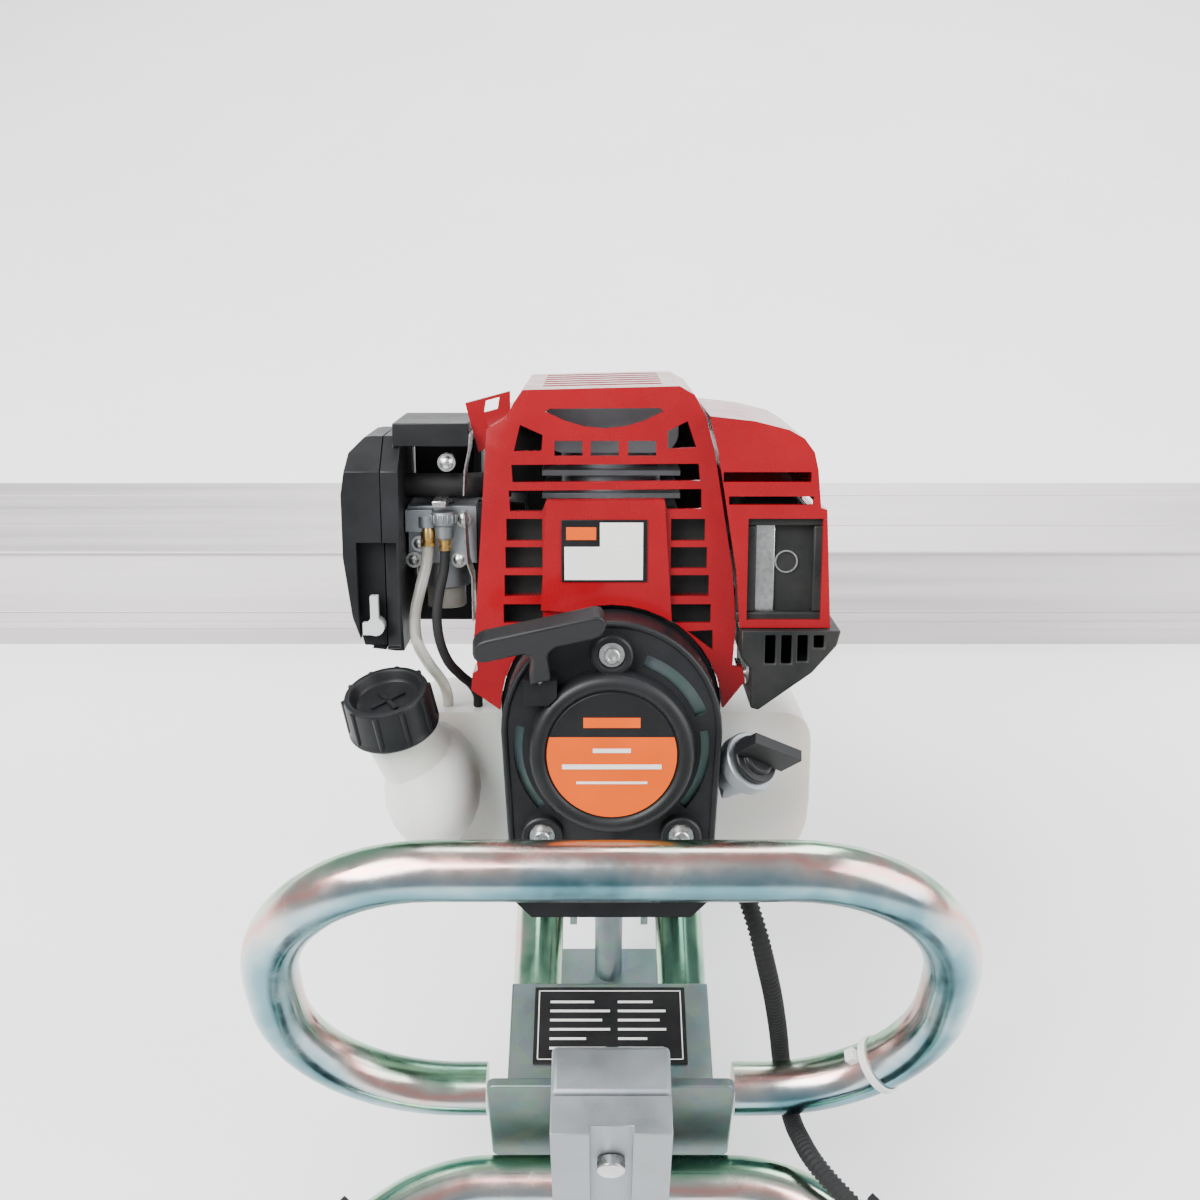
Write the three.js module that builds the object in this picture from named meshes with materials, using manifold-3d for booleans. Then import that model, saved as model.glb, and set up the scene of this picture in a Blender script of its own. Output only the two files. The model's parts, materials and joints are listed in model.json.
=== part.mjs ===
// Power screed: a petrol engine on a tubular frame shakes a long aluminium blade that levels wet concrete.
// Millimetres. +Z is up, +Y points from the operator to the blade, +X is the operator's right.
// The origin is the middle of the blade's sole.
import * as THREE from 'three';
import { mergeVertices } from 'three/addons/utils/BufferGeometryUtils.js';
import Module from 'manifold-3d';

const wasm = await Module();
wasm.setup();

// ---- driving dimensions -------------------------------------------------------------------------
const GAP = 0.3; // between pieces that touch
const BLADE = { length: 1500, rear: -60, front: 60, height: 58, ridge: -22, lip: 16, wall: 3.2 };
const TUBE = { radius: 12.7, wall: 1.6, sides: 10 };
const DECK = { width: 100, front: -423, top: 111.6, thickness: 4 };
const RAIL = { x: 37.5, z: 98, rear: DECK.front + GAP, front: -36 };
const FLANGE = { width: 116, bottom: 72, height: 66, thickness: 5, corner: 4, y: -491 };
const LOOP = { halfWidth: 151.5, bottom: 103, top: 277, y: -477, end: 60, corner: 78 };
const BAR = { y: -513, z: 79, straight: 56, bendRadius: 78, bendDeg: 48, armLength: 140 };
const CLAMP = { width: 54, bottom: 56, top: 162, split: BAR.y, shelf: 8, rearDepth: 19, screwDrop: 30 };
const GRIP = { length: 108, radius: 16 };
const ENGINE = { x: 0, y: -425.4, z: 294.5 };
const STARTER = {
  halfTop: 47, halfFoot: 43, archZ: 8, foot: -78, depth: 30, wall: 2.6, drum: 35, drumProud: 9,
};
const FAN = { housingDepth: 22, radius: 40, blades: 12 };
const CASE = { front: 118, halfWidth: 40, bottom: -46, top: 42 };
const CYLINDER = { y: 84, top: 122, fin: 62, finThickness: 2.4, fins: 7 };
const COVER = { rear: 27, front: 122, top: 151.7, foot: 40, wall: 2.4, skirtDepth: 16 };
const MUFFLER_COVER = { rear: 20, front: 112, foot: 48, wall: 2.4 };
const MUFFLER = { x: 73, width: 32, rear: 28, depth: 66, bottom: 51.5, height: 48 };
const AIR = { inner: -92, outer: -117, rear: 28, front: 92, top: 129, foot: 34, capWidth: 17 };
const CARB = { inner: -60, outer: -91, y: 62, z: 84, half: 13 };
const TANK = { half: 93, front: 112, top: 0, bottom: -72, saddle: 48, floor: -50 };
const FUEL_CAP = { x: -95, y: 16, z: 5, radius: 20, height: 19, leanDeg: 20 };
const OIL = { x: 58, y: 12, z: -12, neck: 9.5, cap: 12.5 };
const CLUTCH = { start: 118.3, depth: 52, radius: 39, wall: 3, drum: 32, snout: 20 };
const DRIVE = { tube: 13, wall: 1.8, core: 4, bendRadius: 150, engineEnd: 176, cornerY: -85.052 };
const EXCITER = { rear: -10, front: 46, radius: 33, wall: 4, clearance: 1.7, footHeight: 10, footProud: 8 };
const BRACKET = { width: 150, thickness: 5, rise: 30 };
const STAND = { y: -345, pivotZ: 76, leg: 8, footWidth: 70, footDepth: 30, pin: 4 };
const CONDUIT = { radius: 4.6, sides: 8 };
const HOSE = { fuel: 2.6, back: 2.2, sides: 8 };

// ---- sizes that follow ---------------------------------------------------------------------------
// The drive runs along the exciter's axis, and the engine leans so that its crank meets that line.
const bracketBase = BLADE.height + GAP;
const bracketTop = bracketBase + BRACKET.thickness;
const driveZ = bracketTop + EXCITER.radius + EXCITER.clearance;
const tilt = Math.atan2(ENGINE.z - driveZ, DRIVE.cornerY - ENGINE.y);

// ---- small tools --------------------------------------------------------------------------------
const rad = THREE.MathUtils.degToRad;
const vec = (x, y, z) => new THREE.Vector3(x, y, z);
const AXES = { x: vec(1, 0, 0), y: vec(0, 1, 0), z: vec(0, 0, 1) };

function solid(geometry) {
  const bare = geometry.index ? geometry.toNonIndexed() : geometry.clone();
  bare.deleteAttribute('normal');
  bare.deleteAttribute('uv');
  const merged = mergeVertices(bare, 1e-4);
  return new wasm.Manifold(new wasm.Mesh({
    numProp: 3,
    vertProperties: new Float32Array(merged.attributes.position.array),
    triVerts: new Uint32Array(merged.index.array),
  }));
}

function geometryOf(manifold) {
  const mesh = manifold.getMesh();
  const geometry = new THREE.BufferGeometry();
  geometry.setAttribute('position', new THREE.BufferAttribute(new Float32Array(mesh.vertProperties), 3));
  geometry.setIndex(new THREE.BufferAttribute(new Uint32Array(mesh.triVerts), 1));
  return geometry;
}

// A box given by its lowest and highest corner.
function box(x0, y0, z0, x1, y1, z1) {
  const geometry = new THREE.BoxGeometry(x1 - x0, y1 - y0, z1 - z0);
  geometry.translate((x0 + x1) / 2, (y0 + y1) / 2, (z0 + z1) / 2);
  return solid(geometry);
}

// A cylinder from point a to point b, or a cone when endRadius differs.
function rod(a, b, radius, sides = 20, endRadius = radius) {
  const span = b.clone().sub(a);
  const geometry = new THREE.CylinderGeometry(endRadius, radius, span.length(), sides);
  geometry.applyQuaternion(new THREE.Quaternion().setFromUnitVectors(AXES.y, span.clone().normalize()));
  geometry.translate((a.x + b.x) / 2, (a.y + b.y) / 2, (a.z + b.z) / 2);
  return solid(geometry);
}

// A disc or tube piece along y, between y0 and y1, centred on (x, z).
function discY(x, z, y0, y1, radius, sides = 32, endRadius = radius) {
  return rod(vec(x, y0, z), vec(x, y1, z), radius, sides, endRadius);
}

function discX(y, z, x0, x1, radius, sides = 24) {
  return rod(vec(x0, y, z), vec(x1, y, z), radius, sides);
}

function discZ(x, y, z0, z1, radius, sides = 24) {
  return rod(vec(x, y, z0), vec(x, y, z1), radius, sides);
}

function outline(points) {
  return new THREE.Shape(points.map(([u, v]) => new THREE.Vector2(u, v)));
}

function roundedRect(u0, v0, u1, v1, radius) {
  const shape = new THREE.Shape();
  shape.moveTo(u0 + radius, v0);
  shape.lineTo(u1 - radius, v0);
  shape.absarc(u1 - radius, v0 + radius, radius, -Math.PI / 2, 0);
  shape.absarc(u1 - radius, v1 - radius, radius, 0, Math.PI / 2);
  shape.absarc(u0 + radius, v1 - radius, radius, Math.PI / 2, Math.PI);
  shape.absarc(u0 + radius, v0 + radius, radius, Math.PI, 1.5 * Math.PI);
  return shape;
}

function prism(shape, depth, u, v, w, start, curveSegments) {
  const geometry = new THREE.ExtrudeGeometry(shape, { depth, bevelEnabled: false, curveSegments });
  geometry.applyMatrix4(new THREE.Matrix4().makeBasis(u, v, w));
  geometry.translate(start.x, start.y, start.z);
  return solid(geometry);
}

// Prisms whose outline is drawn in (x, z) or (y, z).
function prismY(shape, y0, y1, segments = 4) {
  return prism(shape, y1 - y0, AXES.x, AXES.z, vec(0, -1, 0), vec(0, y1, 0), segments);
}

function prismX(shape, x0, x1, segments = 4) {
  return prism(shape, x1 - x0, AXES.y, AXES.z, AXES.x, vec(x0, 0, 0), segments);
}

// Points along straight runs with a round bend of the given radius at each inner corner.
function bentLine(corners, radii, bendSteps = 5) {
  const points = [corners[0]];
  for (let i = 1; i < corners.length - 1; i += 1) {
    const into = corners[i].clone().sub(corners[i - 1]).normalize();
    const away = corners[i + 1].clone().sub(corners[i]).normalize();
    const turn = into.angleTo(away);
    const cut = radii[i - 1] * Math.tan(turn / 2);
    const centre = corners[i].clone().add(
      away.clone().sub(into).normalize().multiplyScalar(radii[i - 1] / Math.cos(turn / 2)));
    const from = corners[i].clone().addScaledVector(into, -cut).sub(centre);
    const axis = into.clone().cross(away).normalize();
    for (let k = 0; k <= bendSteps; k += 1) {
      points.push(from.clone().applyAxisAngle(axis, (turn * k) / bendSteps).add(centre));
    }
  }
  points.push(corners[corners.length - 1]);
  return points;
}

// A curve through points in straight pieces, one extrusion step for each.
class Route extends THREE.Curve {
  constructor(points) {
    super();
    this.points = points;
  }

  getPoint(t) {
    const at = Math.min(t * (this.points.length - 1), this.points.length - 1 - 1e-9);
    const i = Math.floor(at);
    return this.points[i].clone().lerp(this.points[i + 1], at - i);
  }

  getPointAt(t) {
    return this.getPoint(t);
  }

  getTangentAt(t) {
    const step = 1 / (this.points.length - 1);
    const i = Math.round(t / step);
    const before = this.points[Math.max(i - 1, 0)];
    const here = this.points[i];
    const after = this.points[Math.min(i + 1, this.points.length - 1)];
    const tangent = new THREE.Vector3();
    if (i > 0) tangent.add(here.clone().sub(before).normalize());
    if (i < this.points.length - 1) tangent.add(after.clone().sub(here).normalize());
    return tangent.normalize();
  }
}

function tubeAlong(points, radius, sides, bore = 0) {
  const section = new THREE.Shape();
  section.absarc(0, 0, radius, 0, 2 * Math.PI);
  if (bore > 0) {
    const hole = new THREE.Path();
    hole.absarc(0, 0, bore, 0, 2 * Math.PI, true);
    section.holes.push(hole);
  }
  const geometry = new THREE.ExtrudeGeometry(section, {
    steps: points.length - 1,
    curveSegments: sides / 2,
    extrudePath: new Route(points),
  });
  return solid(geometry);
}

function smooth(points, steps) {
  return new THREE.CatmullRomCurve3(points, false, 'centripetal').getSpacedPoints(steps);
}

// ---- materials ----------------------------------------------------------------------------------
function finish(color, roughness, metalness) {
  return () => new THREE.MeshStandardMaterial({ color, roughness, metalness });
}
const millAluminium = finish(0xd9d8d6, 0.4, 0.9);
const castAluminium = finish(0x9fa6ad, 0.5, 0.8);
const zincTube = finish(0xc5c6c4, 0.25, 1.0);
const galvanised = finish(0x7f8f8a, 0.4, 0.9);
const redPlastic = finish(0xc4161c, 0.25, 0.0);
const blackPlastic = finish(0x15161a, 0.45, 0.0);
const blackSteel = finish(0x1a1a1c, 0.5, 0.4);
const tankPlastic = finish(0xe9e9e4, 0.35, 0.0);
const rubber = finish(0x18181a, 0.85, 0.0);
const steel = finish(0xa8a8a8, 0.35, 1.0);
const greyPlastic = finish(0xb9bcbb, 0.5, 0.0);
const whitePlastic = finish(0xe6e6e4, 0.5, 0.0);
const clearHose = finish(0xd8d4c0, 0.2, 0.0);

const group = new THREE.Group();
const engine = new THREE.Group();
engine.position.set(ENGINE.x, ENGINE.y, ENGINE.z);
engine.rotation.x = -tilt;
group.add(engine);

function add(parent, name, body, material) {
  const mesh = new THREE.Mesh(geometryOf(body), material());
  mesh.name = name;
  parent.add(mesh);
}

// A point of the engine's own space, given in the machine's space.
function engineToWorld(x, y, z) {
  return vec(x, y, z).applyAxisAngle(AXES.x, -tilt).add(vec(ENGINE.x, ENGINE.y, ENGINE.z));
}

// ---- blade --------------------------------------------------------------------------------------
const ridgeDrop = 4;

function bladeOutline() {
  return outline([
    [BLADE.rear, 0], [BLADE.front, 0], [BLADE.front, BLADE.height], [BLADE.ridge, BLADE.height],
    [BLADE.ridge, BLADE.height - ridgeDrop], [BLADE.rear, BLADE.lip],
  ]);
}

function makeBlade() {
  const w = BLADE.wall;
  const half = BLADE.length / 2;
  const web = 2;
  const rearCell = outline([
    [BLADE.rear + w, w], [-web, w], [-web, BLADE.height - w], [BLADE.ridge + w, BLADE.height - w],
    [BLADE.ridge + w / 2, BLADE.height - ridgeDrop - w], [BLADE.rear + w, BLADE.lip - w / 2],
  ]);
  const frontCell = outline([
    [web, w], [BLADE.front - w, w], [BLADE.front - w, BLADE.height - w], [web, BLADE.height - w],
  ]);
  const past = 1;
  const body = prismX(bladeOutline(), -half, half)
    .subtract(prismX(rearCell, -half - past, half + past))
    .subtract(prismX(frontCell, -half - past, half + past));
  add(group, 'blade', body, millAluminium);
}

// ---- bracket on the blade and the exciter -------------------------------------------------------
function makeBladeBracket() {
  const half = BRACKET.width / 2;
  const rear = BLADE.ridge + 1;
  const plate = box(-half, rear, bracketBase, half, BLADE.front - 4, bracketTop);
  const upright = roundedRect(-half, bracketBase, half, driveZ + BRACKET.rise, 10);
  const wall = prismY(upright, rear, rear + BRACKET.thickness)
    .add(box(-half, rear, bracketBase, half, rear + BRACKET.thickness, bracketBase + 20));
  const ribDepth = 26;
  const ribHeight = 26;
  let body = plate.add(wall);
  for (const x of [-half + 2, half - 6]) {
    const foot = bracketTop - 1;
    const rib = outline([[rear + 1, foot], [rear + ribDepth, foot], [rear + 1, bracketTop + ribHeight]]);
    body = body.add(prismX(rib, x, x + 4));
  }
  body = body.subtract(discY(0, driveZ, rear - 1, rear + BRACKET.thickness + 1, DRIVE.tube + GAP));
  for (const side of [-1, 1]) {
    const stud = 4 + GAP;
    body = body.subtract(discY(side * RAIL.x, RAIL.z, rear - 1, rear + BRACKET.thickness + 1, stud, 16));
  }
  add(group, 'blade_bracket', body, galvanised);
}

function makeExciter() {
  const z = driveZ;
  const { rear, front, radius, wall } = EXCITER;
  const footTop = bracketTop + GAP + EXCITER.footHeight;
  const footHalf = radius + EXCITER.footProud;
  const inner = radius - wall;
  const boss = 17;
  const housing = discY(0, z, rear, front - 6, radius, 36)
    .add(box(-footHalf, rear + 4, bracketTop + GAP, footHalf, front - 10, footTop))
    .subtract(discY(0, z, rear + 8, front, inner, 36))
    .subtract(discY(0, z, rear - 1, rear + 9, boss - 3.5, 24));
  add(group, 'exciter_housing', housing, castAluminium);
  const cover = discY(0, z, front - 6 + GAP, front, radius, 36)
    .add(discY(0, z, front - 1, front + 3, boss, 28));
  add(group, 'exciter_cover', cover, castAluminium);
  const weight = discY(0, z, rear + 19, front - 18, inner - 3, 28)
    .subtract(box(-radius, rear, z + 5, radius, front, z + radius))
    .add(discY(0, z, rear + 9, front - 7, 7, 20));
  add(group, 'eccentric_weight', weight, steel);
  const seat = rear + 8 + GAP;
  const bearing = discY(0, z, seat, seat + 9, inner - GAP, 32)
    .subtract(discY(0, z, seat - 1, seat + 10, 7 + GAP, 20));
  add(group, 'exciter_bearing', bearing, steel);
}

// ---- drive tube and its flexible core -----------------------------------------------------------
function driveLine(start, end) {
  const from = engineToWorld(0, start, 0);
  return bentLine([from, vec(0, DRIVE.cornerY, driveZ), vec(0, end, driveZ)], [DRIVE.bendRadius], 6);
}

function makeDrive() {
  const tubeEnd = EXCITER.rear - GAP;
  const tube = tubeAlong(driveLine(DRIVE.engineEnd, tubeEnd), DRIVE.tube, 16, DRIVE.tube - DRIVE.wall);
  add(group, 'drive_tube', tube, millAluminium);
  const core = tubeAlong(driveLine(DRIVE.engineEnd + 4, EXCITER.rear + 7), DRIVE.core, 8);
  add(group, 'flexible_core', core, steel);
}

// ---- frame --------------------------------------------------------------------------------------
function makeRails() {
  for (const [name, side] of [['frame_tube_left', -1], ['frame_tube_right', 1]]) {
    const x = side * RAIL.x;
    const body = discY(x, RAIL.z, RAIL.rear, RAIL.front, TUBE.radius, 16)
      .subtract(discY(x, RAIL.z, RAIL.rear - 1, RAIL.front - 4, TUBE.radius - TUBE.wall, 12));
    add(group, name, body, zincTube);
  }
  const studRadius = 4;
  for (const [name, side] of [['isolator_left', -1], ['isolator_right', 1]]) {
    const x = side * RAIL.x;
    const face = BLADE.ridge + 1 - GAP;
    const body = discY(x, RAIL.z, RAIL.front + GAP, face, TUBE.radius + 1, 20)
      .add(discY(x, RAIL.z, face - 1, face + BRACKET.thickness + 6, studRadius - 0.3, 12));
    add(group, name, body, rubber);
  }
}

function makeDeck() {
  const half = DECK.width / 2;
  const bottom = DECK.top - DECK.thickness;
  const skirt = 24;
  const flangeHalf = FLANGE.width / 2;
  const flangeTop = FLANGE.bottom + FLANGE.height;
  const flange = roundedRect(-flangeHalf, FLANGE.bottom, flangeHalf, flangeTop, FLANGE.corner);
  const weld = 1;
  const body = box(-half, FLANGE.y - weld, bottom, half, DECK.front, DECK.top)
    .add(box(-half, FLANGE.y - weld, bottom - skirt, -half + DECK.thickness, DECK.front, bottom + weld))
    .add(box(half - DECK.thickness, FLANGE.y - weld, bottom - skirt, half, DECK.front, bottom + weld))
    .add(prismY(flange, FLANGE.y - FLANGE.thickness, FLANGE.y));
  add(group, 'rear_plate', body, galvanised);
}

// The loop is one bent tube, made as two mirrored halves that meet at the top.
function makeCarryLoop() {
  const { halfWidth, bottom, top, y, end, corner } = LOOP;
  for (const [name, side] of [['carry_loop_left', -1], ['carry_loop_right', 1]]) {
    const at = (x, z) => vec(side * x, y, z);
    const corners = [at(end, bottom), at(halfWidth, bottom), at(halfWidth, top), at(GAP / 2, top)];
    const line = bentLine(corners, [corner, corner], 5);
    const body = tubeAlong(line, TUBE.radius, TUBE.sides, TUBE.radius - TUBE.wall);
    add(group, name, body, zincTube);
  }
}

// ---- handlebar and its clamp --------------------------------------------------------------------
function makeClamp() {
  const half = CLAMP.width / 2;
  const { split, bottom, top } = CLAMP;
  const bore = discX(BAR.y, BAR.z, -half - 1, half + 1, TUBE.radius + GAP, 24);
  const frontFace = FLANGE.y - FLANGE.thickness - GAP;
  const flangeTop = FLANGE.bottom + FLANGE.height + GAP;
  const front = box(-half, split + GAP, bottom, half, frontFace, top)
    .add(box(-half, frontFace - 1, flangeTop, half, frontFace + CLAMP.shelf, top))
    .subtract(bore);
  add(group, 'clamp_front', front, castAluminium);
  const back = split - CLAMP.rearDepth;
  const grooveHalf = 9.5;
  const grooveDepth = 4;
  const screwZ = top - CLAMP.screwDrop;
  const screwRadius = 4;
  const headRadius = 6.5;
  const rear = box(-half, back, bottom, half, split - GAP, top)
    .subtract(bore)
    .subtract(box(-grooveHalf, back - 1, bottom - 1, grooveHalf, back + grooveDepth, top + 1))
    .subtract(discY(0, screwZ, back - 1, split, screwRadius + GAP, 16));
  add(group, 'clamp_rear', rear, castAluminium);
  const screw = discY(0, screwZ, back - 2, back + grooveDepth - GAP, headRadius, 18)
    .add(discY(0, screwZ, back + grooveDepth - 1, split - GAP, screwRadius, 12));
  add(group, 'clamp_screw', screw, steel);
}

function armPoint(along, side) {
  const bend = rad(BAR.bendDeg);
  const x = BAR.straight + BAR.bendRadius * Math.sin(bend) + along * Math.cos(bend);
  const y = BAR.y - BAR.bendRadius * (1 - Math.cos(bend)) - along * Math.sin(bend);
  return vec(side * x, y, BAR.z);
}

function barLine() {
  const tangent = BAR.bendRadius * Math.tan(rad(BAR.bendDeg) / 2);
  const corner = BAR.straight + tangent;
  const ends = [armPoint(BAR.armLength, -1), armPoint(BAR.armLength, 1)];
  return bentLine([ends[0], vec(-corner, BAR.y, BAR.z), vec(corner, BAR.y, BAR.z), ends[1]],
    [BAR.bendRadius, BAR.bendRadius], 6);
}

function makeHandlebar() {
  add(group, 'handlebar', tubeAlong(barLine(), TUBE.radius, TUBE.sides, TUBE.radius - TUBE.wall), zincTube);
  for (const [name, side] of [['grip_left', -1], ['grip_right', 1]]) {
    const start = armPoint(BAR.armLength - GRIP.length + 4, side);
    const end = armPoint(BAR.armLength + 4, side);
    const inner = armPoint(BAR.armLength + GAP, side);
    const bore = rod(armPoint(0, side), inner, TUBE.radius + GAP, 16);
    const body = rod(start, end, GRIP.radius, 20).subtract(bore);
    add(group, name, body, rubber);
  }
}

const armDir = armPoint(1, 1).sub(armPoint(0, 1));
const hubAlong = 14;
const ringHalf = 8;
const throttleHub = armPoint(hubAlong, 1);
const switchHub = armPoint(hubAlong, -1);

// A box in the arm's own directions: a along the arm, b sideways, z up from the tube's centre.
function armBox(side, hub, a0, b0, z0, a1, b1, z1) {
  const along = vec(side * armDir.x, armDir.y, 0);
  const turn = Math.atan2(along.y, along.x);
  const geometry = new THREE.BoxGeometry(a1 - a0, b1 - b0, z1 - z0);
  geometry.translate((a0 + a1) / 2, (b0 + b1) / 2, (z0 + z1) / 2);
  geometry.rotateZ(turn);
  geometry.translate(hub.x, hub.y, hub.z);
  return solid(geometry);
}

const leverPivotUp = 24;

function makeThrottleLever() {
  const fit = TUBE.radius + GAP;
  const ring = rod(armPoint(hubAlong - ringHalf, 1), armPoint(hubAlong + ringHalf, 1), TUBE.radius + 4, 20)
    .subtract(rod(armPoint(0, 1), armPoint(hubAlong + 2 * ringHalf, 1), fit, 16));
  const cheeks = armBox(1, throttleHub, -14, -8, TUBE.radius + 2, 10, 8, leverPivotUp + 8)
    .subtract(armBox(1, throttleHub, -15, -4.5, TUBE.radius + 6, 11, 4.5, leverPivotUp + 9));
  add(group, 'throttle_bracket', ring.add(cheeks), blackPlastic);
  const reach = 96;
  const rise = 22;
  const pivot = throttleHub.clone().add(vec(0, 0, leverPivotUp));
  const tip = pivot.clone().addScaledVector(armDir, reach).add(vec(0, 0, rise));
  const lever = armBox(1, throttleHub, -8, -3.8, leverPivotUp - 4, 4, 3.8, leverPivotUp + 4)
    .add(rod(pivot, tip, 3.8, 10));
  add(group, 'throttle_lever', lever, blackPlastic);
}

function makeStopSwitch() {
  const fit = TUBE.radius + GAP;
  const ring = rod(armPoint(hubAlong - ringHalf, -1), armPoint(hubAlong + ringHalf, -1), TUBE.radius + 4, 20)
    .subtract(rod(armPoint(0, -1), armPoint(hubAlong + 2 * ringHalf, -1), fit, 16));
  const pod = armBox(-1, switchHub, -13, -11, TUBE.radius + 2, 9, 11, TUBE.radius + 14)
    .subtract(armBox(-1, switchHub, -8, -6, TUBE.radius + 6, 4, 6, TUBE.radius + 15));
  add(group, 'stop_switch_housing', ring.add(pod), blackPlastic);
  const button = armBox(-1, switchHub, -7.6, -5.6, TUBE.radius + 9, 3.6, 5.6, TUBE.radius + 17);
  add(group, 'stop_switch_button', button, redPlastic);
}

// ---- stand --------------------------------------------------------------------------------------
function makeStand() {
  const { y, pivotZ, leg, footWidth, footDepth, pin } = STAND;
  const railBottom = RAIL.z - TUBE.radius - GAP;
  const outer = RAIL.x + 4;
  const hanger = box(-outer, y - 14, railBottom - 4, outer, y + 14, railBottom)
    .add(box(-22, y - 9, pivotZ - 12, -18, y + 9, railBottom - 1))
    .add(box(18, y - 9, pivotZ - 12, 22, y + 9, railBottom - 1))
    .subtract(discX(y, pivotZ - 4, -23, 23, pin + GAP, 16));
  add(group, 'stand_hanger', hanger, galvanised);
  const pinBody = discX(y, pivotZ - 4, -25, 25, pin, 14)
    .add(discX(y, pivotZ - 4, -28, -24, pin + 3, 14))
    .add(discX(y, pivotZ - 4, 24, 28, pin + 3, 14));
  add(group, 'stand_pin', pinBody, steel);
  const legBody = discZ(0, y, 4, pivotZ - 4, leg, 16)
    .add(discX(y, pivotZ - 4, -17, 17, leg, 16))
    .add(box(-footWidth / 2, y - footDepth / 2, 0, footWidth / 2, y + footDepth / 2, 5))
    .subtract(discX(y, pivotZ - 4, -18, 18, pin + GAP, 16));
  add(group, 'stand_leg', legBody, galvanised);
}

// ---- engine support -----------------------------------------------------------------------------
function makeEngineSupport() {
  // The saddle stands on the frame tubes; its arms rise to the clutch housing's underside.
  const railTop = RAIL.z + TUBE.radius + GAP;
  const anchor = engineToWorld(0, CLUTCH.start + 26, 0);
  const half = 50;
  const shell = CLUTCH.radius + GAP;
  const upright = outline([
    [-half, railTop], [half, railTop], [half, railTop + 8], [30, anchor.z - 4],
    [-30, anchor.z - 4], [-half, railTop + 8],
  ]);
  const from = engineToWorld(0, CLUTCH.start - 60, 0);
  const to = engineToWorld(0, CLUTCH.start + 110, 0);
  const body = prismY(upright, anchor.y - 22, anchor.y - 10)
    .add(box(-half, anchor.y - 30, railTop, half, anchor.y + 20, railTop + 5))
    .subtract(rod(from, to, shell, 32));
  add(group, 'engine_saddle', body, galvanised);
}

// ---- engine: starter ----------------------------------------------------------------------------
function archOutline(inset) {
  const { halfTop, halfFoot, archZ, foot } = STARTER;
  const shape = new THREE.Shape();
  shape.moveTo(-halfFoot + inset + 8, foot + inset);
  shape.lineTo(halfFoot - inset - 8, foot + inset);
  shape.lineTo(halfFoot - inset, foot + inset + 8);
  shape.absarc(0, archZ, halfTop - inset, 0, Math.PI);
  shape.lineTo(-halfFoot + inset, foot + inset + 8);
  return shape;
}

function ringSlot(radius, width, fromDeg, toDeg, y0, y1) {
  const slot = new THREE.Shape();
  slot.absarc(0, 0, radius + width / 2, rad(fromDeg), rad(toDeg), false);
  slot.absarc(0, 0, radius - width / 2, rad(toDeg), rad(fromDeg), true);
  return prismY(slot, y0, y1, 6);
}

const pullDir = vec(0, -Math.sin(rad(20)), Math.cos(rad(20)));
const ropePort = vec(-30, -7, 27);

function makeStarter() {
  const { wall, depth, drum, drumProud } = STARTER;
  let cover = prismY(archOutline(0), 0, depth, 10)
    .add(discY(0, 0, -drumProud, wall, drum, 36))
    .subtract(prismY(archOutline(wall), wall, depth + 1, 10))
    .subtract(discY(0, 0, wall - drumProud, wall + 1, drum - wall, 36));
  for (const [reach, width, from, to] of [[6, 5.6, 21, 70], [5.2, 3.8, 166, 221], [5.2, 3.8, -41, 11]]) {
    cover = cover.subtract(ringSlot(drum + reach, width, from, to, -1, wall + 1));
  }
  const portBlock = box(ropePort.x - 7, -drumProud - 2, ropePort.z - 5, ropePort.x + 7, 1, ropePort.z + 6);
  const holeStart = ropePort.clone().addScaledVector(pullDir, -12);
  const holeEnd = ropePort.clone().addScaledVector(pullDir, 12);
  const portHole = rod(holeStart, holeEnd, 2.4, 10);
  cover = cover.add(portBlock.subtract(discY(0, 0, -drumProud - 3, 2, drum - 0.5, 36))).subtract(portHole);
  for (let k = 0; k < 4; k += 1) {
    const x = -28 + 18.6 * k;
    cover = cover.subtract(box(x - 6, -1, STARTER.foot + 8, x + 6, wall + 1, STARTER.foot + 13));
  }
  add(engine, 'starter_cover', cover, blackPlastic);
  const reel = discY(0, 0, -4, 9, 30, 32)
    .subtract(discY(0, 0, 1, 4, 31, 32).subtract(discY(0, 0, 0, 5, 25, 28)))
    .subtract(discY(0, 0, -5, 10, 5.3, 16));
  add(engine, 'starter_reel', reel, whitePlastic);
  const spring = discY(0, 0, 10, 15, 24, 28).subtract(discY(0, 0, 9, 16, 17, 24));
  add(engine, 'recoil_spring', spring, steel);
  const grip = ropePort.clone().addScaledVector(pullDir, 7.4);
  const bar = grip.clone().addScaledVector(pullDir, 21.6);
  const half = vec(27, 0, 6);
  const gripBody = rod(grip, bar, 4.6, 14)
    .add(rod(bar.clone().sub(half), bar.clone().add(half), 5.2, 14));
  add(engine, 'starter_grip', gripBody, blackPlastic);
}

function makeFan() {
  const y0 = STARTER.depth + GAP;
  const y1 = y0 + FAN.housingDepth;
  const wall = STARTER.wall;
  const housing = prismY(archOutline(-2), y0, y1, 10)
    .subtract(prismY(archOutline(wall), y0 - 1, y1 - wall, 10))
    .subtract(discY(0, 0, y0, y1 + 1, 14, 24));
  add(engine, 'fan_housing', housing, blackPlastic);
  let wheel = discY(0, 0, y0 + 1, y0 + 8, FAN.radius, 36).add(discY(0, 0, y0 - 8, y0 + 10, 12, 20));
  for (let k = 0; k < FAN.blades; k += 1) {
    const geometry = new THREE.BoxGeometry(2, 9, 20);
    geometry.translate(0, y0 - 2, 28);
    geometry.rotateY((2 * Math.PI * k) / FAN.blades);
    wheel = wheel.add(solid(geometry));
  }
  wheel = wheel.subtract(discY(0, 0, y0 - 10, y1, 6 + GAP, 16));
  add(engine, 'flywheel', wheel, castAluminium);
  return y1;
}

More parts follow.
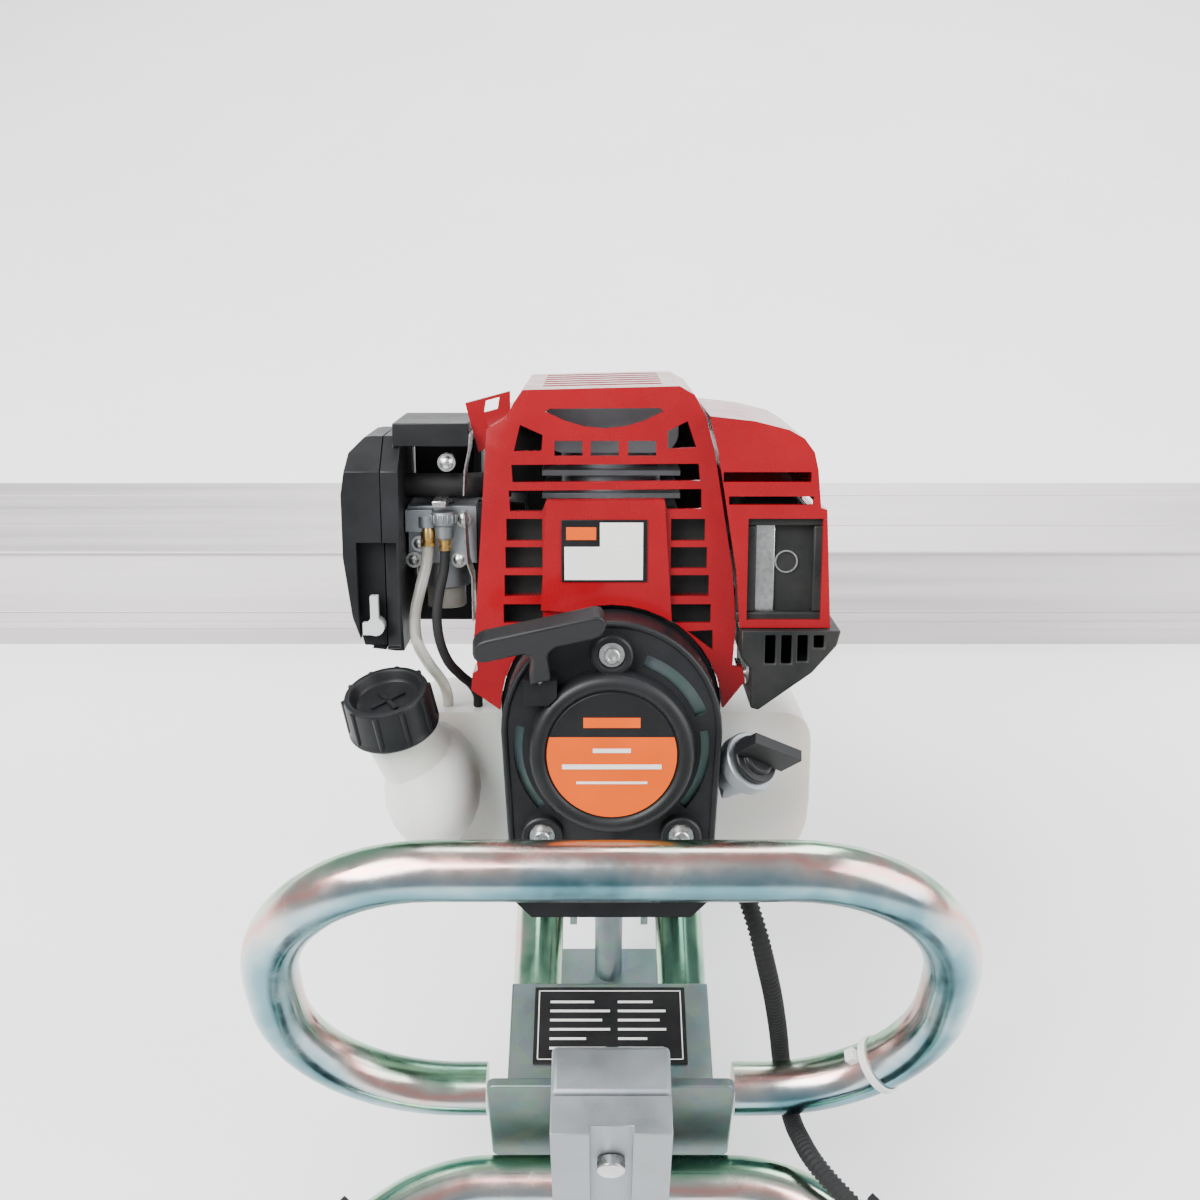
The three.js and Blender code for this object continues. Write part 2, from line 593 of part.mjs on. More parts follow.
// ---- engine: block ------------------------------------------------------------------------------
function makeBlock(rear) {
  const y0 = rear + GAP;
  const { front, halfWidth, bottom, top } = CASE;
  const bore = 17;
  const webRoom = 31;
  const middle = CYLINDER.y;
  const cylinderTop = CYLINDER.top;
  const crankcase = prismY(roundedRect(-halfWidth, bottom, halfWidth, top, 10), y0, front, 3)
    .subtract(discY(0, 0, y0 - 1, front + 1, 10, 20))
    .subtract(discY(0, 0, middle - 13, middle + 13, webRoom, 28))
    .subtract(discZ(0, middle, 0, top + 1, bore + 1.5, 24));
  add(engine, 'crankcase', crankcase, castAluminium);
  let cylinder = discZ(0, middle, top + GAP, cylinderTop, bore + 6, 16);
  const step = (cylinderTop - top - 8) / CYLINDER.fins;
  const half = CYLINDER.fin / 2;
  for (let k = 0; k < CYLINDER.fins; k += 1) {
    const z = top + 6 + k * step;
    const finTop = z + CYLINDER.finThickness;
    cylinder = cylinder.add(box(-half, middle - half + 2, z, half, middle + half - 4, finTop));
  }
  const rockerShape = roundedRect(-30, cylinderTop - 2, 30, cylinderTop + 22, 9);
  const rocker = prismY(rockerShape, middle - 30, middle + 24, 4);
  cylinder = cylinder.add(rocker).subtract(discZ(0, middle, top - 1, cylinderTop - 10, bore, 16));
  add(engine, 'cylinder', cylinder, castAluminium);
  const piston = discZ(0, middle, 66, 90, bore - 0.4, 24).subtract(discZ(0, middle, 60, 84, bore - 4, 20));
  add(engine, 'piston', piston, castAluminium);
  const shaft = discY(0, 0, 22, front - 0.3, 6, 16)
    .add(discY(0, 0, y0 + 8, front - 0.3, 8, 16))
    .add(discY(0, 0, middle - 10, middle + 10, 20, 24)
      .subtract(box(-21, middle - 11, 6, 21, middle + 11, 21)))
    .add(box(-8, middle - 10, 0, 8, middle - 6, 22))
    .add(box(-8, middle + 6, 0, 8, middle + 10, 22))
    .add(discY(0, 16, middle - 10, middle + 10, 5, 14));
  const tail = discY(0, 0, front - 1, CLUTCH.start + 16, 6, 14);
  add(engine, 'crankshaft', shaft.add(tail), steel);
}

function makeClutch() {
  const { start, depth, radius, wall, drum, snout } = CLUTCH;
  const end = start + depth;
  const tubeSeat = DRIVE.tube + GAP;
  const housing = discY(0, 0, start, end, radius, 32, radius - 6)
    .add(discY(0, 0, end - 4, end + 24, snout, 24))
    .subtract(discY(0, 0, start - 1, end - 4, radius - wall, 32, radius - wall - 7))
    .subtract(discY(0, 0, end - 6, end + 25, tubeSeat, 20));
  add(engine, 'clutch_housing', housing, castAluminium);
  const drumBody = discY(0, 0, start + 6, start + 34, drum - 2, 28)
    .subtract(discY(0, 0, start + 5, start + 31, drum - 5, 28))
    .add(discY(0, 0, start + 33, start + 50, 7, 16));
  add(engine, 'clutch_drum', drumBody, steel);
  const slit = 2;
  const shoes = discY(0, 0, start + 8, start + 24, drum - 6.5, 24)
    .subtract(box(11, start, -slit, radius, end, slit))
    .subtract(box(-radius, start, -slit, -11, end, slit))
    .subtract(discY(0, 0, start + 7, start + 25, 6 + GAP, 14));
  add(engine, 'clutch_shoes', shoes, blackSteel);
}

// ---- engine: covers -----------------------------------------------------------------------------
// Outlines seen from behind, as (x, z) in the engine's own space.
const COVER_RIGHT = [[53.6, 40], [54.6, 48.8], [52.7, 72.3], [48.4, 98.7], [44.2, 123.5], [40.2, 139]];
const COVER_TOP = [[35.3, 148], [28.9, 151.7], [-37.9, 150.1], [-41.6, 144.8], [-45.4, 137.9]];
const COVER_LEFT = [[-53.5, 133.2], [-57.1, 83.3], [-60.5, 40]];
const SKIRT = [
  [-60.5, 43], [-59.1, 27.2], [-61.4, 25.5], [-62.1, 18], [-48.3, 8], [49.9, 10], [59.2, 22], [58, 28.3],
  [53.5, 28.9], [54.6, 48.8], [53, 60], [-55, 60],
];

function counterClockwise(points) {
  const area = THREE.ShapeUtils.area(points.map(([u, v]) => new THREE.Vector2(u, v)));
  return area > 0 ? points : [...points].reverse();
}

// The outline pushed towards its middle by about one wall.
function shrunk(points, wall) {
  const middleU = points.reduce((sum, [u]) => sum + u, 0) / points.length;
  const middleV = points.reduce((sum, [, v]) => sum + v, 0) / points.length;
  const sideways = wall * 1.2;
  return points.map(([u, v]) => [u - sideways * Math.sign(u - middleU), v - wall * Math.sign(v - middleV)]);
}

function ventY(points, y0, y1) {
  return prismY(outline(counterClockwise(points)), y0, y1);
}

function coverVents(past, inside) {
  const crescent = new THREE.Shape();
  crescent.moveTo(-28.4, 141);
  crescent.quadraticCurveTo(-3, 126.5, 22.1, 141);
  crescent.lineTo(20.5, 142.5);
  crescent.lineTo(-26.3, 142.2);
  const vents = [
    prismY(crescent, past, inside, 6),
    ventY([[-39.1, 135.3], [-29.5, 131], [-30.1, 124.1], [-41.9, 124.1]], past, inside),
    ventY([[32.3, 136.9], [36.1, 125.7], [23.9, 125.1], [23.8, 132.6]], past, inside),
    ventY([[-43, 118.2], [37.3, 118.7], [38, 111.4], [-42.6, 110.6]], past, inside),
    ventY([
      [-44.3, 107], [38.6, 107.8], [38.7, 99.2], [24, 99], [22.5, 103.6], [-28, 103.2], [-30, 98.1],
      [-43.8, 98.1],
    ], past, inside),
    ventY([[33.4, 44.8], [44.4, 45.4], [44.6, 36.3]], past, inside),
  ];
  for (const x of [-18.5, -3, 13]) vents.push(box(x - 6, past, 122, x + 6, inside, 128.5));
  const rows = [[94.8, 85.2], [82.4, 73], [70, 60.6], [57, 48.6]];
  for (const [high, low] of rows) {
    const lean = (94.8 - high) * 0.045;
    vents.push(box(-45.5 - lean, past, low, -30, inside, high));
    vents.push(box(25.7, past, low, 40.4 + lean * 1.8, inside, high));
  }
  return vents;
}

function makeTopCover() {
  const { rear, front, top, foot, wall, skirtDepth } = COVER;
  const clear = STARTER.halfTop + 2 + GAP;
  const shell = counterClockwise([...COVER_RIGHT, ...COVER_TOP, ...COVER_LEFT]);
  const hollow = shrunk(shell, wall).map(([u, v]) => [u, v < foot + 20 ? foot - 20 : v]);
  let body = prismY(outline(shell), rear, front)
    .subtract(prismY(outline(hollow), rear + wall, front + 1));
  const skirtShell = counterClockwise(SKIRT);
  const skirt = prismY(outline(skirtShell), rear, rear + skirtDepth)
    .subtract(prismY(outline(shrunk(skirtShell, wall)), rear + wall, rear + skirtDepth + 1));
  body = body.add(skirt).subtract(discY(0, STARTER.archZ, rear - 1, front + 1, clear, 40));
  for (const vent of coverVents(rear - 1, rear + wall + 1)) body = body.subtract(vent);
  body = body.add(ventY([[-28, 103], [22.8, 103.4], [26.4, 50], [-30.8, 54.8]], rear - 2.4, rear + 1)
    .subtract(discY(0, STARTER.archZ, rear - 4, rear + 2, clear, 40)));
  const tab = ventY([[-63.5, 143.4], [-44, 148.6], [-44, 130], [-58, 122]], rear + 13, rear + 16)
    .subtract(ventY([[-54.5, 144.4], [-48.6, 146], [-49.4, 141], [-55.4, 139.4]], rear + 12, rear + 17));
  body = body.add(tab);
  const slots = 6;
  for (let k = 0; k < slots; k += 1) {
    const y = rear + 16 + 13 * k;
    body = body.subtract(box(-30, y, top - 8, 22, y + 6, top + 1));
  }
  const sideTop = top - 24;
  body = body.subtract(box(36, rear + skirtDepth, foot - 30, 60, front + 1, sideTop));
  body = body.subtract(box(-66, rear + skirtDepth + 2, foot - 30, -42, front + 1, sideTop));
  add(engine, 'top_cover', largest(body), redPlastic);
}

// The biggest of the bodies that a cut has left.
function largest(body) {
  const pieces = body.decompose();
  return pieces.reduce((best, piece) => (piece.volume() > best.volume() ? piece : best));
}

const MUFFLER_SHELL = [
  [55.6, 48], [95, 48], [94.8, 52], [92.1, 99.8], [89.4, 100.6], [87.8, 116.9], [86, 124.4], [81.6, 130.2],
  [75.1, 133.9], [60.3, 137.6], [41.4, 139.7], [45.2, 123.9], [49.4, 99], [53.7, 72.6],
];
const DEFLECTOR = [
  [56, 47.6], [56, 36], [60.6, 30], [60.6, 13], [64, 12], [87.3, 29], [97.5, 41], [99.2, 47.6],
];

function makeMuffler() {
  const { rear, front, foot, wall } = MUFFLER_COVER;
  const shell = counterClockwise(MUFFLER_SHELL);
  const past = rear - 1;
  const inside = rear + wall + 1;
  let body = prismY(outline(shell), rear, front)
    .subtract(prismY(outline(shrunk(shell, wall)), rear + wall, front - wall))
    .subtract(box(58.5, past, foot + 3.5, 90.5, inside, 96))
    .subtract(box(50, past, 102, 86, inside, 105.6))
    .subtract(box(47.5, past, 111.8, 84.8, inside, 116))
    .subtract(box(40, rear + wall, foot + 3, 59, front - 14, 117));
  const sideSlots = 5;
  for (let k = 0; k < sideSlots; k += 1) {
    const z = foot + 7 + 10 * k;
    body = body.subtract(box(88, rear + 14, z, 99, front - 12, z + 5));
  }
  body = body.subtract(box(64, rear + 10, foot - 1, 88, front - 10, foot + wall + 1));
  add(engine, 'muffler_cover', largest(body), redPlastic);
  const m = MUFFLER;
  const left = m.x - m.width / 2;
  const canShape = roundedRect(left, m.bottom, left + m.width, m.bottom + m.height, 7);
  const can = prismY(canShape, m.rear, m.rear + m.depth, 3)
    .add(discX(CYLINDER.y, 78, CYLINDER.fin / 2 + GAP, left + 1, 8, 16));
  add(engine, 'muffler', can, blackSteel);
  const y0 = 16;
  const y1 = 84;
  const outer = counterClockwise(DEFLECTOR);
  let deflector = prismY(outline(outer), y0, y1)
    .subtract(prismY(outline(shrunk(outer, 2)), y0 + 2, y1 - 2));
  const louvres = [[66.5, 20], [73.5, 25], [80.5, 30], [87.5, 36]];
  for (const [x, low] of louvres) {
    deflector = deflector.subtract(box(x, y0 - 1, Math.max(low + 4, 33), x + 4.4, y0 + 3, 45.6));
  }
  add(engine, 'exhaust_deflector', deflector, blackSteel);
}

const AIR_FRONT = [
  [-92, 33.5], [-92, 130], [-97, 130.3], [-108, 128.5], [-114.2, 122.3], [-117, 105], [-117, 77],
  [-113.6, 50], [-110, 36],
];

function makeIntake() {
  const a = AIR;
  const split = a.outer + a.capWidth;
  const shape = new THREE.Shape();
  shape.moveTo(a.rear + 6, a.foot);
  shape.lineTo(a.front - 8, a.foot);
  shape.lineTo(a.front, a.foot + 20);
  shape.lineTo(a.front, a.top - 10);
  shape.lineTo(a.front - 10, a.top);
  shape.lineTo(a.rear + 14, a.top);
  shape.lineTo(a.rear, a.top - 14);
  shape.lineTo(a.rear, a.foot + 18);
  const inner = new THREE.Shape();
  inner.moveTo(a.rear + 9, a.foot + 4);
  inner.lineTo(a.front - 10, a.foot + 4);
  inner.lineTo(a.front - 4, a.foot + 22);
  inner.lineTo(a.front - 4, a.top - 12);
  inner.lineTo(a.front - 12, a.top - 4);
  inner.lineTo(a.rear + 16, a.top - 4);
  inner.lineTo(a.rear + 4, a.top - 16);
  inner.lineTo(a.rear + 4, a.foot + 20);
  const front = counterClockwise(AIR_FRONT);
  const bulged = prismY(outline(front), a.rear - 1, a.front + 1);
  const topBlock = box(a.inner - 3, a.rear + 8, 125, -62, a.front - 6, 135);
  const base = prismX(shape, split + GAP, a.inner).intersect(bulged).add(topBlock)
    .subtract(prismX(inner, split - 1, a.inner - 3))
    .subtract(discX(CARB.y, CARB.z, split, a.inner + 1, 8, 20))
    .subtract(box(split - 1, a.rear - 1, 35.5, a.inner - 1.6, a.rear + 9, 84))
    .add(box(split + GAP, a.rear + 8.5, 35, a.inner, a.rear + 12, 86).intersect(bulged));
  add(engine, 'air_cleaner_base', base, blackPlastic);
  const notch = box(-111, a.rear - 1, 35.5, split + 1, a.rear + 10, 84);
  const cap = prismX(shape, a.outer - 1, split).intersect(bulged)
    .subtract(prismX(inner, a.outer + 4, split + 1))
    .subtract(notch)
    .add(box(-112, a.rear + 9, 36, split, a.rear + 12, 86).intersect(bulged));
  add(engine, 'air_cleaner_cover', cap, blackPlastic);
  const c = CARB;
  const carb = box(c.outer, c.y - c.half, c.z - c.half, c.inner, c.y + c.half, c.z + c.half)
    .add(discZ((c.outer + c.inner) / 2, c.y, c.z - c.half - 12, c.z - c.half + 1, 11, 20))
    .subtract(discX(c.y, c.z, c.outer - 1, c.inner + 1, 7, 20))
    .subtract(discZ((c.outer + c.inner) / 2, c.y, c.z - c.half - 13, c.z - c.half - 7, 9.6, 20));
  add(engine, 'carburettor', carb, castAluminium);
  const insulator = box(c.inner + GAP, c.y - 15, c.z - 15, -CYLINDER.fin / 2 - 7, c.y + 15, c.z + 15)
    .subtract(discX(c.y, c.z, c.inner - 1, -20, 7, 20));
  add(engine, 'carburettor_insulator', insulator, blackPlastic);
  const ear = c.z + c.half;
  const mid = (c.outer + c.inner) / 2;
  const arm = discZ(mid, c.y - 4, ear + GAP, ear + 5, 5, 14)
    .add(box(mid - 3, c.y - 26, ear + GAP + 1, mid + 3, c.y - 3, ear + 4));
  add(engine, 'throttle_arm', arm, steel);
  const bulbZ = c.z - c.half - 12;
  add(engine, 'primer_bulb', discZ(mid, c.y, bulbZ - 10, bulbZ - GAP, 9, 18, 9), clearHose);
  const chokeRear = a.rear + 1;
  const choke = discY(-104, 46, chokeRear, a.rear + 9 - GAP, 4, 14)
    .add(box(-109.5, chokeRear, 42.5, -103, chokeRear + 4, 48))
    .add(box(-106, chokeRear, 46, -102.5, chokeRear + 4, 60));
  add(engine, 'choke_lever', choke, greyPlastic);
}

// ---- engine: tank, caps and hoses ---------------------------------------------------------------
function capAxis() {
  const lean = rad(FUEL_CAP.leanDeg);
  return vec(-Math.sin(rad(8)), -Math.sin(lean), Math.cos(lean)).normalize();
}

function makeTank() {
  const t = TANK;
  const shape = new THREE.Shape();
  shape.moveTo(-t.half + 22, t.bottom);
  shape.lineTo(t.half - 22, t.bottom);
  shape.quadraticCurveTo(t.half, t.bottom, t.half, t.bottom + 30);
  shape.lineTo(t.half, t.top - 14);
  shape.quadraticCurveTo(t.half, t.top, t.half - 16, t.top);
  shape.lineTo(t.saddle, t.top);
  shape.lineTo(t.saddle, t.floor);
  shape.lineTo(-t.saddle, t.floor);
  shape.lineTo(-t.saddle, t.top);
  shape.lineTo(-t.half + 10, t.top);
  shape.quadraticCurveTo(-t.half, t.top, -t.half, t.top - 16);
  shape.lineTo(-t.half, t.bottom + 30);
  shape.quadraticCurveTo(-t.half, t.bottom, -t.half + 22, t.bottom);
  const rear = STARTER.depth + FAN.housingDepth + 2 * GAP;
  const axis = capAxis();
  const seat = vec(FUEL_CAP.x, FUEL_CAP.y, FUEL_CAP.z);
  const neckFoot = seat.clone().addScaledVector(axis, -34).add(vec(10, 10, 0));
  const neckTop = seat.clone().addScaledVector(axis, -GAP);
  const lobe = new THREE.SphereGeometry(1, 20, 12);
  lobe.scale(22, 26, 30);
  lobe.translate(FUEL_CAP.x + 14, FUEL_CAP.y + 18, FUEL_CAP.z - 34);
  const body = prismY(shape, rear, t.front, 5)
    .add(rod(neckFoot, neckTop, 20, 24, 15))
    .add(solid(lobe))
    .subtract(rod(neckTop, seat.clone().addScaledVector(axis, FUEL_CAP.height), FUEL_CAP.radius + 1, 24))
    .subtract(box(-STARTER.halfTop - 2 - GAP, -50, -90, 60, rear - 1, 60));
  add(engine, 'fuel_tank', body, tankPlastic);
  const capTop = seat.clone().addScaledVector(axis, FUEL_CAP.height);
  let cap = rod(seat, capTop, FUEL_CAP.radius, 30);
  const dishFoot = capTop.clone().addScaledVector(axis, -5);
  cap = cap.subtract(rod(dishFoot, capTop.clone().addScaledVector(axis, 1), 15, 24));
  const bar = new THREE.BoxGeometry(6, 29, 5);
  bar.translate(0, 0, 2.4);
  bar.applyQuaternion(new THREE.Quaternion().setFromUnitVectors(AXES.z, axis));
  const barFoot = capTop.clone().addScaledVector(axis, -5.4);
  bar.translate(barFoot.x, barFoot.y, barFoot.z);
  add(engine, 'fuel_cap', cap.add(solid(bar)), blackPlastic);
}

const oilAxis = vec(0.55, -0.62, 0.56).normalize();

function makeOilFiller() {
  const foot = vec(OIL.x, OIL.y, OIL.z).addScaledVector(oilAxis, -16);
  const top = vec(OIL.x, OIL.y, OIL.z).addScaledVector(oilAxis, 6);
  const base = vec(STARTER.halfTop + 8, STARTER.depth + FAN.housingDepth + 8, -26);
  const neck = rod(base, foot, 8, 18, OIL.neck).add(rod(foot, top, OIL.neck, 18));
  const trimmed = neck.subtract(box(-60, -20, -90, STARTER.halfTop + 2 + GAP, 200, 60))
    .subtract(box(CASE.halfWidth, STARTER.depth + FAN.housingDepth + GAP, -90, 120, 200, 60));
  add(engine, 'oil_filler_neck', trimmed, castAluminium);
  const seat = top.clone().addScaledVector(oilAxis, GAP);
  const crown = seat.clone().addScaledVector(oilAxis, 7);
  const tab = new THREE.BoxGeometry(30, 8, 12);
  tab.applyQuaternion(new THREE.Quaternion().setFromUnitVectors(AXES.z, oilAxis));
  const tabAt = crown.clone().addScaledVector(oilAxis, 5);
  tab.translate(tabAt.x, tabAt.y, tabAt.z);
  add(engine, 'oil_cap', rod(seat, crown, OIL.cap, 20).add(solid(tab)), blackPlastic);
}

// ---- hoses, conduit and tie ---------------------------------------------------------------------
const fuelHoseRoute = [
  vec(-81.7, 45.5, 80), vec(-82.6, 43, 71), vec(-85, 39, 61), vec(-87.2, 36, 50), vec(-86.4, 35, 38),
  vec(-82, 41, 26), vec(-79, 50, 18), vec(-77, 57, 11), vec(-76, 60, 5), vec(-76, 60.5, 1),
];
const returnHoseRoute = [
  vec(-74.2, 45.5, 78), vec(-74.6, 43, 69), vec(-76.6, 39, 59), vec(-77.6, 36.5, 49),
  vec(-76.4, 36, 38), vec(-73, 38, 28),
  vec(-68, 44, 20), vec(-64, 53, 13), vec(-62, 59, 6), vec(-62, 60, 1),
];

function makeHoses() {
  add(engine, 'fuel_hose', tubeAlong(smooth(fuelHoseRoute, 14), HOSE.fuel, HOSE.sides), clearHose);
  add(engine, 'return_hose', tubeAlong(smooth(returnHoseRoute, 14), HOSE.back, HOSE.sides), rubber);
}

// The throttle conduit leaves the engine saddle, runs under the tank, drops between the tank and the
// carry loop, passes under the loop and reaches the lever's bracket.
const conduitRoute = [
  vec(53, -331, 146), vec(55, -347, 153), vec(58, -365, 162), vec(60, -385, 173), vec(61, -402, 184),
  vec(62.5, -418, 192), vec(65, -433, 194), vec(69, -445, 187), vec(73, -453, 173), vec(77, -456, 155),
  vec(80.5, -457, 135), vec(83.5, -457, 115), vec(85.5, -457.5, 100), vec(87.5, -463, 88),
  vec(89, -475, 84), vec(90, -487, 88), vec(91.5, -500, 97), vec(95, -513, 103), vec(101, -523, 104),
];

function makeConduit() {
  const end = throttleHub.clone().addScaledVector(armDir, -14 - GAP).add(vec(0, 0, leverPivotUp));
  const body = tubeAlong(smooth([...conduitRoute, end], 40), CONDUIT.radius, CONDUIT.sides);
  add(group, 'throttle_conduit', body, rubber);
}

makeBlade();
makeBladeBracket();
makeExciter();
makeDrive();
makeRails();
makeDeck();
makeCarryLoop();
makeClamp();
makeHandlebar();
makeThrottleLever();
makeStopSwitch();
makeStand();
makeEngineSupport();
makeStarter();
makeBlock(makeFan());
makeClutch();
makeTopCover();
makeMuffler();
makeIntake();
makeTank();
makeOilFiller();
makeHoses();
makeConduit();

export default group;
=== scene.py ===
"""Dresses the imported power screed: finishes, fasteners, labels, tubes, hoses, stage, light and camera."""

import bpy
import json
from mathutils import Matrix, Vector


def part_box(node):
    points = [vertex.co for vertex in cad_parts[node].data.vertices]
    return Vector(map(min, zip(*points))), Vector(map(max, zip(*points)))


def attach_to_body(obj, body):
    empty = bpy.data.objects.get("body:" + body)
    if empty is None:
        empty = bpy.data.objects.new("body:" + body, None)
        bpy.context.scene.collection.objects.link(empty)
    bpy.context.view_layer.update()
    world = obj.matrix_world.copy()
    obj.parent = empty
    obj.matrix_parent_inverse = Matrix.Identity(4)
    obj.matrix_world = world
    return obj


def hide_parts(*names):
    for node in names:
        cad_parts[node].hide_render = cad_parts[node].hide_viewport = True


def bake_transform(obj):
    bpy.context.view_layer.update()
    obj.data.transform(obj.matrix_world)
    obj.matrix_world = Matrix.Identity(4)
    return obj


bl_info = {
    "name": "Power screed",
    "version": (1, 0, 0),
    "blender": (4, 5, 0),
    "location": "View3D > Sidebar > Screed",
    "description": "Builds the visible pieces and finishes of a power screed around its packed frame",
    "category": "Object",
}

import json
import math

import bmesh
import bpy
from bpy.props import FloatProperty, FloatVectorProperty, IntProperty, PointerProperty
from bpy.types import Operator, Panel, PropertyGroup
from mathutils import Matrix, Vector

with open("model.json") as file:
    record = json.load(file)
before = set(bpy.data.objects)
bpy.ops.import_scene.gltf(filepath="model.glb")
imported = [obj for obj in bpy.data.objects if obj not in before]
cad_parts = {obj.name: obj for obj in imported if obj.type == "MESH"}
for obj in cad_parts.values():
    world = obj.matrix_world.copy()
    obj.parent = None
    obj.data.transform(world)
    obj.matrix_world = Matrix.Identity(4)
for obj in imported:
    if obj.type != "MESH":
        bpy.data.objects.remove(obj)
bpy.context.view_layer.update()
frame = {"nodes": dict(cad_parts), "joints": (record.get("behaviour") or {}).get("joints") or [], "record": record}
MM = 0.001
JOINTS = {joint["name"]: joint for joint in frame["joints"]}
BODY_OF = {node: body for body, nodes in frame["record"]["behaviour"]["bodies"].items() for node in nodes}
SLOT_OF = {row["node"]: row["material_slot"] for row in frame["record"]["subparts"]}

# The engine's own axes: its crankshaft runs along the second one.
CRANK_AXIS = Vector(JOINTS["crank_spin"]["axis"]).normalized()
SIDE_AXIS = Vector((1, 0, 0))
UP_AXIS = SIDE_AXIS.cross(CRANK_AXIS).normalized()
STARTER_FACE = 2 * MM  # the reel's pivot lies this far inside the starter's front face
ENGINE_ORIGIN = Vector(JOINTS["reel_spin"]["pos_m"]) - CRANK_AXIS * STARTER_FACE
ENGINE_TURN = Matrix((SIDE_AXIS, CRANK_AXIS, UP_AXIS)).transposed().to_4x4()
TO_ENGINE = Matrix.Translation(ENGINE_ORIGIN) @ ENGINE_TURN


def engine_point(x, y, z):
    """A point of the engine's own space, in millimetres, as a place in the machine."""
    return TO_ENGINE @ (Vector((x, y, z)) * MM)


def in_metres(points):
    """Points that are written in millimetres, as plain numbers in metres."""
    return [tuple(value * MM for value in point) for point in points]


# The frame's tube, its bends and the handle's arms, as the frame was built with them.
BEND_RADIUS = 78 * MM
LOOP_FOOT = 60 * MM  # how far from the middle the carry loop's two ends stop
HANDLE_BEND = math.radians(48)
HANDLE_STRAIGHT = 56 * MM
HANDLE_REACH = 140 * MM
HANDLE_CLEARANCE = 0.15 * MM  # keeps the turning handlebar off its clamp
DRIVE_BEND = 150 * MM
DRIVE_START = 176  # the drive tube's start along the crankshaft, in millimetres
DECK_ABOVE_FLANGE = 39.6 * MM  # from the flange's foot to the deck's top

# Places in the engine's own space, in millimetres.
STARTER_BOLTS = ((0, 42), (-30, -39), (30, -39))
ROPE_PORT = (-30, -7, 27)
GRIP_FOOT, GRIP_BAR = 7.4, 29  # how far along the pull the grip's stem starts and its bar lies
ARCH_CENTRE, ARCH_RADIUS, ARCH_FOOT = 8, 47, (43.2, -66)
COVER_BOLT = (59.6, 31, 25)
OUTLET = (76, 27.6, 76)


# ---- mesh helpers ---------------------------------------------------------------------------------


def sharp_by_angle(mesh, degrees):
    mesh.shade_smooth()
    mesh.set_sharp_from_angle(angle=math.radians(degrees))


def finish_piece(name, bm, material, body, replaces=(), smooth=35, bevel=0.0, segments=2):
    """Makes a piece from a bmesh that is already in place, and gives it its body and finish."""
    mesh = bpy.data.meshes.new(name)
    bmesh.ops.recalc_face_normals(bm, faces=bm.faces)
    bm.to_mesh(mesh)
    bm.free()
    piece = bpy.data.objects.new(name, mesh)
    bpy.context.scene.collection.objects.link(piece)
    mesh.materials.append(material)
    sharp_by_angle(mesh, smooth)
    if bevel > 0:
        round_edges(piece, bevel, segments)
    return attach(piece, body, replaces)


def machine_piece(name, bm, slot, smooth=35, bevel=0.0, segments=2):
    """A piece that rides on the machine's own body and stands in for no node."""
    return finish_piece(name, bm, finish(slot), "machine", (), smooth, bevel, segments)


def attach(piece, body, replaces=()):
    """Gives a piece its body, when it has one, and hides the nodes that it stands in for."""
    if body:
        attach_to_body(piece, body)
    if replaces:
        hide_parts(*replaces)
    return piece


def round_edges(piece, width, segments):
    """Rounds the edges of a piece that turn by more than thirty degrees, so that they catch the light."""
    modifier = piece.modifiers.new("rounded_edges", "BEVEL")
    modifier.width = width
    modifier.segments = segments
    modifier.limit_method = "ANGLE"
    modifier.angle_limit = math.radians(30)
    modifier.use_clamp_overlap = True
    modifier.harden_normals = False


def node_copy(node):
    """A merged copy of a frame node's mesh, with its flat faces joined."""
    bm = bmesh.new()
    bm.from_mesh(frame["nodes"][node].data)
    bmesh.ops.remove_doubles(bm, verts=bm.verts, dist=2e-6)
    bmesh.ops.dissolve_limit(bm, angle_limit=math.radians(1.5), verts=bm.verts, edges=bm.edges)
    return bm


def dress(node, material, bevel, segments):
    """Stands a merged, round-edged copy in for a frame node."""
    body, slot = BODY_OF[node], SLOT_OF[node]
    return finish_piece(node + "_skin", node_copy(node), material, body, (node,), 35, bevel, segments)


def place_along(start, direction):
    """A matrix that puts +Z of a local shape on a direction at a start point."""
    turn = Vector((0, 0, 1)).rotation_difference(Vector(direction).normalized())
    return Matrix.Translation(Vector(start)) @ turn.to_matrix().to_4x4()


def add_cylinder(bm, start, direction, radius, length, sides=24, end_radius=None):
    """A closed cylinder or cone from a start point along a direction."""
    end_radius = radius if end_radius is None else end_radius
    made = bmesh.ops.create_cone(
        bm, cap_ends=True, segments=sides, radius1=radius, radius2=end_radius, depth=length
    )
    matrix = place_along(start, direction) @ Matrix.Translation((0, 0, length / 2))
    bmesh.ops.transform(bm, matrix=matrix, verts=made["verts"])
    return made["verts"]


def add_box(bm, low, high, matrix=None):
    """A box between two corners, moved by a matrix when one is given."""
    made = bmesh.ops.create_cube(bm, size=1)
    low, high = Vector(low), Vector(high)
    size = high - low
    local = Matrix.Translation((low + high) / 2) @ Matrix.Diagonal((*size, 1))
    bmesh.ops.transform(bm, matrix=(matrix or Matrix.Identity(4)) @ local, verts=made["verts"])
    return made["verts"]


def add_engine_box(bm, low, high):
    """A box between two corners of the engine's own space, in millimetres."""
    return add_box(bm, *in_metres((low, high)), TO_ENGINE)


